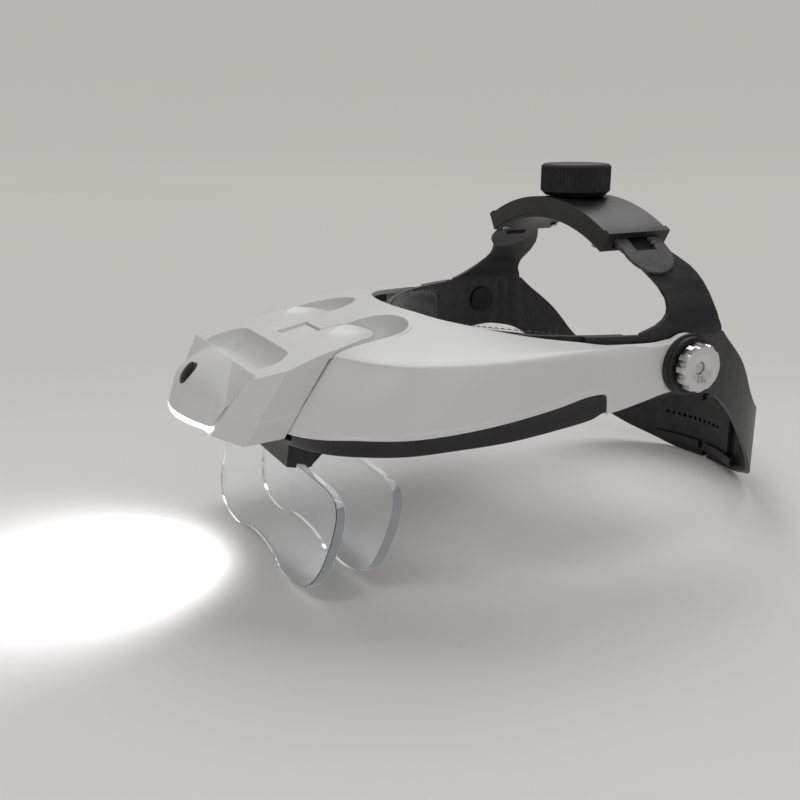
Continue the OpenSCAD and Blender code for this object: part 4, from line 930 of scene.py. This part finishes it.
def build_harness(sizes):
    for side in ("left", "right"):
        moulded("side_plate_" + side, "headband", "harness_plastic", 0.45, 40)
    moulded("forehead_band", "headband", "harness_plastic", 0.4)
    moulded("band_rivets", "headband", "rivet_plastic", 0.2)
    moulded("nape_clip", "headband", "harness_plastic", 0.6)
    moulded("nape_rivets", "headband", "rivet_plastic", 0.2)
    moulded("nape_tongue", "nape_size", "harness_plastic", 0.25)


def build_crown(sizes):
    moulded("crown_channel", "headband", "harness_plastic", 0.8, segments=3)
    moulded("crown_cover", "headband", "harness_plastic", 0.3)
    moulded("crown_cover_screws", "headband", "steel", 0.12)
    moulded("crown_knob", "crown_adjuster", "knob_plastic", 0.18)
    moulded("crown_pinion", "crown_adjuster", "brass", 0.0)
    moulded("crown_knob_screw", "crown_adjuster", "steel", 0.15)
    moulded("strap_tongue_left", "left_strap_end", "tongue_plastic", 0.2, 50)
    moulded("strap_tongue_right", "right_strap_end", "tongue_plastic", 0.2, 50)


def build_pivots(sizes):
    for side in ("left", "right"):
        moulded("pivot_stud_" + side, "headband", "stud_metal", 0.3)
        moulded("spring_washer_" + side, "visor", "steel", 0.1)
        moulded("friction_disc_" + side, "visor", "friction_plastic", 0.5, segments=3)
        moulded("thumb_knob_" + side, "clamp_" + side, "bright_metal", 0.3, 25, 3)


def build_battery(sizes):
    moulded("battery_tray", "visor", "tray_plastic", 0.25)
    moulded("battery_cells", "visor", "cell_wrap", 0.4)
    moulded("cell_contacts", "visor", "contact_metal", 0.05)


def build_lenses(sizes):
    moulded("hinge_block", "visor", "harness_plastic", 0.5)
    moulded("hinge_block_screws", "visor", "steel", 0.12)
    moulded("hinge_pin", "visor", "steel", 0.2)
    moulded("lens_holder", "front_lens_unit", "harness_plastic", 0.4)
    for node in ("front_lens", "rear_lens"):
        lens = moulded(node, node + "_unit", "clear_acrylic", 0.45, 50, 3, smooth=40)
        # The rim faces, which carry the acrylic's painted glow
        rim = lens.data.attributes.new("rim", "FLOAT", "FACE")
        rim.data.foreach_set("value", [float(abs(face.normal.y) < 0.5) for face in lens.data.polygons])


# Forehead cushion: half width and half length of its outside, and the middle of that oval
PAD_HALF_W, PAD_HALF_L, PAD_MIDDLE_Y, PAD_THICK = 77, 92.5, 2.5, 8.2
PAD_VOXEL, PUFF = 1.6, 0.9
THREAD_R, STITCH_HALF, STITCH_RISE = 0.22, 0.9, 0.45


def stitch(a):
    """One stitch, arched over the cloth, at this angle from straight ahead."""
    ahead, along = Vector((sin_d(a), -cos_d(a), 0)), Vector((cos_d(a), sin_d(a), 0))
    middle = Vector(((PAD_HALF_W - PAD_THICK) * sin_d(a), PAD_MIDDLE_Y - (PAD_HALF_L - PAD_THICK) * cos_d(a),
                     93.2 - 5 * abs(a / 65) ** 6))
    up_z = Vector((0, 0, 1))
    rings = []
    for t in (-1, -0.5, 0, 0.5, 1):
        at = middle + along * STITCH_HALF * t + up_z * STITCH_RISE * sin_d(90 * (t + 1))
        rings.append([at + (ahead * cos_d(c) + up_z * sin_d(c)) * THREAD_R for c in turns(6)])
    return loft("stitch", rings)


def build_pad(sizes):
    """The forehead cushion: remeshed, blown up a little as cloth, and stitched along its top."""
    pad = copy_of("forehead_pad")
    weld(pad)
    modify(pad, "REMESH", mode="VOXEL", voxel_size=PAD_VOXEL * MM)
    still = [v.co.copy() for v in pad.data.vertices]
    pick(pad)
    cloth = pad.modifiers.new("Cloth", "CLOTH").settings
    cloth.quality = 5
    cloth.mass = 0.2
    cloth.use_pressure = True
    cloth.uniform_pressure_force = 4
    cloth.effector_weights.gravity = 0
    cloth.tension_stiffness = cloth.compression_stiffness = 25
    scene = bpy.context.scene
    for number in range(1, 21):
        scene.frame_set(number)
    pick(pad)
    bpy.ops.object.modifier_apply(modifier="Cloth")
    scene.frame_set(1)
    # The cloth swells no further than the puff, and not out towards the band
    middle_y = place((0, PAD_MIDDLE_Y, 0)).y
    for v, rest in zip(pad.data.vertices, still):
        move = v.co - rest
        if move.length > PUFF * MM:
            move = move.normalized() * PUFF * MM
        out = Vector((rest.x / PAD_HALF_W**2, (rest.y - middle_y) / PAD_HALF_L**2, 0)).normalized()
        if move.dot(out) > 0:
            move -= out * move.dot(out)
        v.co = rest + move
    modify(pad, "SMOOTH", factor=0.5, iterations=2)
    modify(pad, "SUBSURF", levels=1, render_levels=1)
    complete(pad, "headband", "pad_fabric", ["forehead_pad"], 60)
    seam = joined([stitch(2.0 * k) for k in range(-31, 32)], "forehead_pad_stitches")
    complete(seam, "headband", "tongue_plastic", (), 60)


# The floor runs from behind the camera to a bend, and curves up there into the backdrop, in metres
AWAY, ACROSS = Vector((-0.8908, 0.4544, 0)), Vector((0.4544, 0.8908, 0))
FLOOR_FROM, FLOOR_LONG, FLOOR_WIDE = -2.0, 7.0, 12
BEND_FROM, BEND_R = 2.2, 1.6
FADE_FROM, FADE_TO = -0.02, 0.32
BEAM_FROM, BEAM_TO = place((0, -186, 61)), place((-10, -219, 0))
CAMERA_AT, CAMERA_TURN, CAMERA_RISE = (0.3722, -0.2333, 0.1792), 62.98, 16.46
SOFTBOXES = [("top_light", (-0.75, 0.55, 1.35), (0, 0, 0.08), (1.2, 1.0)),
             ("fill_light", (1.6, -0.15, 0.75), (0, 0, 0.06), (1.0, 0.9)),
             ("rim_light", (0.3, -0.85, 1.55), (0, -0.05, 0.06), (0.7, 0.7))]


def facing(back):
    """The rotation of a lamp or camera whose back is turned this way."""
    return back.to_track_quat("Z", "Y").to_euler()


def build_floor(look):
    """The table, and the backdrop that it curves up into."""
    bpy.ops.object.select_all(action="DESELECT")
    bpy.ops.mesh.primitive_grid_add(x_subdivisions=1, y_subdivisions=40, size=1)
    floor = bpy.context.object
    floor.name = "floor"
    for v in floor.data.vertices:
        run, rise = (v.co.y + 0.5) * FLOOR_LONG + FLOOR_FROM, 0.0
        past = run - BEND_FROM
        if past > 0:
            turn = min(past / BEND_R, math.pi / 2)
            run = BEND_FROM + BEND_R * math.sin(turn)
            rise = BEND_R * (1 - math.cos(turn)) + max(0.0, past - BEND_R * math.pi / 2)
        p = AWAY * run + ACROSS * v.co.x * FLOOR_WIDE
        v.co = Vector((p.x, p.y, rise - 0.0002))
    pick(floor)
    bpy.ops.object.shade_smooth()
    paper = Finish("floor_paper", tuple(look.floor), 0.75, Emission_Strength=1.0)
    web = paper.web
    grain = paper.effect("grain", Grain_size=160.0, Unevenness_size=1.2, Smoothest=0.6, Roughest=0.8)
    paper.lead("Roughness", grain["Roughness"])
    # Away from the magnifier the table fades into an even backdrop
    away = web.add("VectorMath", out=1, settings={"operation": "DOT_PRODUCT"},
                   i0=web.add("TexCoord", out=3), i1=AWAY)
    far = web.add("MapRange", settings={"interpolation_type": "SMOOTHSTEP"},
                  Value=away, From_Min=FADE_FROM, From_Max=FADE_TO)
    path = web.add("LightPath", out=None)
    seen = web.sum("MAXIMUM", path.outputs["Is Camera Ray"],
                   web.sum("MAXIMUM", path.outputs["Is Transmission Ray"], path.outputs["Is Glossy Ray"]))
    table = web.blend(grain["Mottle"], paper.colour, shade(look.floor, 0.97))
    paper.lead("Base Color", web.blend(far, table, (0, 0, 0, 1)))
    paper.lead("Emission Color", web.blend(web.times(far, seen), (0, 0, 0, 1), (*look.backdrop, 1)))
    floor.data.materials.append(paper.material)


def build_stage(look):
    """Floor, backdrop, lights and the camera at the photograph's place."""
    build_floor(look)
    world = bpy.data.worlds.new("studio")
    bpy.context.scene.world = world
    world.use_nodes = True
    sky = Web(world.node_tree)
    room = tuple(c * look.room_light for c in (0.92, 0.91, 0.9))
    shown = sky.blend(sky.add("LightPath", out="Is Camera Ray"), (*room, 1.0), (*look.backdrop, 1.0))
    sky.put(world.node_tree.nodes["Background"].inputs["Color"], shown)

    for name, at, aim, size in SOFTBOXES:
        bpy.ops.object.select_all(action="DESELECT")
        bpy.ops.object.light_add(type="AREA", location=at)
        lamp = bpy.context.object
        lamp.name = name
        lamp.data.shape = "RECTANGLE"
        lamp.data.size, lamp.data.size_y = size
        lamp.data.energy = getattr(look, name)
        lamp.rotation_euler = facing(Vector(at) - Vector(aim))

    # The lamp's own beam on the table
    bpy.ops.object.light_add(type="SPOT", location=BEAM_FROM)
    beam = bpy.context.object
    beam.name = "lamp_beam"
    beam.data.energy = look.beam
    beam.data.spot_size = math.radians(110)
    beam.data.spot_blend = 1.0
    beam.data.shadow_soft_size = 0.012
    beam.rotation_euler = facing(BEAM_FROM - BEAM_TO)

    bpy.ops.object.camera_add(location=CAMERA_AT)
    camera = bpy.context.object
    level = Vector((sin_d(CAMERA_TURN), -cos_d(CAMERA_TURN), 0))
    camera.rotation_euler = facing(level * cos_d(CAMERA_RISE) + Vector((0, 0, sin_d(CAMERA_RISE))))
    camera.data.sensor_width = 36
    camera.data.lens = 45
    camera.data.clip_start = 0.01
    bpy.context.scene.camera = camera
    bpy.context.scene.view_settings.view_transform = "Standard"


# Settings that a user would change
def colour_setting(name, description, default):
    return FloatVectorProperty(name=name, description="Colour of " + description, subtype="COLOR", size=3,
                               default=default, min=0, max=1)


def power_setting(name, description, default):
    return FloatProperty(name=name, description="Power of " + description, subtype="POWER",
                         default=default, min=0)


class MagnifierSizes(bpy.types.PropertyGroup):
    edge: FloatProperty(name="Edge radius", default=0.35, min=0.1, max=0.8,
                        description="Rounding of the white shells' cut edges, in millimetres")
    fold: FloatProperty(name="Fold radius", default=0.9, min=0.3, max=2.0,
                        description="Rounding of the hood's folds, in millimetres")


class MagnifierLook(bpy.types.PropertyGroup):
    shell: colour_setting("Shell", "the white visor and lamp", (0.74, 0.74, 0.735))
    harness: colour_setting("Harness", "the black harness", (0.0075, 0.0075, 0.0078))
    trim: colour_setting("Trim", "the visor's lower strip", (0.012, 0.012, 0.0125))
    floor: colour_setting("Floor", "the table", (0.86, 0.85, 0.84))
    backdrop: colour_setting("Backdrop", "the even background", (0.468, 0.46, 0.434))
    room_light: FloatProperty(name="Room light", default=0.3, min=0,
                              description="Strength of the light from all round")
    glow: FloatProperty(name="Glow", default=3.0, min=0, max=20,
                        description="Brightness of the lamp's window")
    top_light: power_setting("Top light", "the overhead softbox", 11.0)
    fill_light: power_setting("Fill light", "the softbox beside the camera", 2.9)
    rim_light: power_setting("Rim light", "the softbox at the front", 4.3)
    beam: power_setting("Beam", "the light that the lamp throws on the table", 0.7)


def operator(name, label, doc, work, stage=False):
    """An operator class that builds one group of pieces."""
    def execute(self, context):
        work(context.scene.magnifier_look if stage else context.scene.magnifier_sizes)
        return {"FINISHED"}

    return type("MAGNIFIER_OT_" + name, (bpy.types.Operator,), {
        "bl_idname": "magnifier." + name, "bl_label": label, "__doc__": doc,
        "bl_options": {"REGISTER", "UNDO"}, "execute": execute})


STEPS = [
    operator("finishes", "Finishes", "Makes the materials of every piece", build_finishes, True),
    operator("stage", "Stage", "Makes the floor, the lights and the camera", build_stage, True),
    operator("harness", "Harness", "Makes the side plates, forehead band and nape", build_harness),
    operator("crown", "Crown adjuster", "Makes the channel, knob, pinion and strap ends", build_crown),
    operator("pad", "Forehead pad", "Makes the forehead cushion and its stitches", build_pad),
    operator("pivots", "Tilt pivots", "Makes the studs, discs, washers and thumb knobs", build_pivots),
    operator("visor", "Visor", "Makes the white visor and its liner", build_visor),
    operator("trim", "Lower trim", "Makes the black strip and its screws", build_trim),
    operator("battery", "Battery tray", "Makes the tray, the cells and their contacts", build_battery),
    operator("lenses", "Lens plates", "Makes the lens hinge, holder and both plates", build_lenses),
    operator("hood", "Lamp hood", "Makes the hood that slides on the visor's nose", build_hood),
    operator("head", "Lamp head", "Makes the lamp's bulged front", build_lamp_head),
    operator("lamp_inside", "Lamp parts", "Makes the window, the board and the switch", build_lamp_inside),
]


class MAGNIFIER_PT_panel(bpy.types.Panel):
    """Lists the magnifier's settings and steps"""

    bl_label = "Magnifier"
    bl_space_type = "VIEW_3D"
    bl_region_type = "UI"
    bl_category = "Magnifier"

    def draw(self, context):
        for group in (context.scene.magnifier_sizes, context.scene.magnifier_look):
            for key in group.bl_rna.properties.keys():
                if key not in ("rna_type", "name"):
                    self.layout.prop(group, key)
        for step in STEPS:
            self.layout.operator(step.bl_idname)


CLASSES = [MagnifierSizes, MagnifierLook, *STEPS, MAGNIFIER_PT_panel]


def register():
    for cls in CLASSES:
        bpy.utils.register_class(cls)
    bpy.types.Scene.magnifier_sizes = PointerProperty(type=MagnifierSizes)
    bpy.types.Scene.magnifier_look = PointerProperty(type=MagnifierLook)


def unregister():
    del bpy.types.Scene.magnifier_look
    del bpy.types.Scene.magnifier_sizes
    for cls in reversed(CLASSES):
        bpy.utils.unregister_class(cls)


def main():
    register()
    for step in STEPS:
        getattr(bpy.ops.magnifier, step.bl_idname.split(".")[1])()


if __name__ == "__main__":
    main()
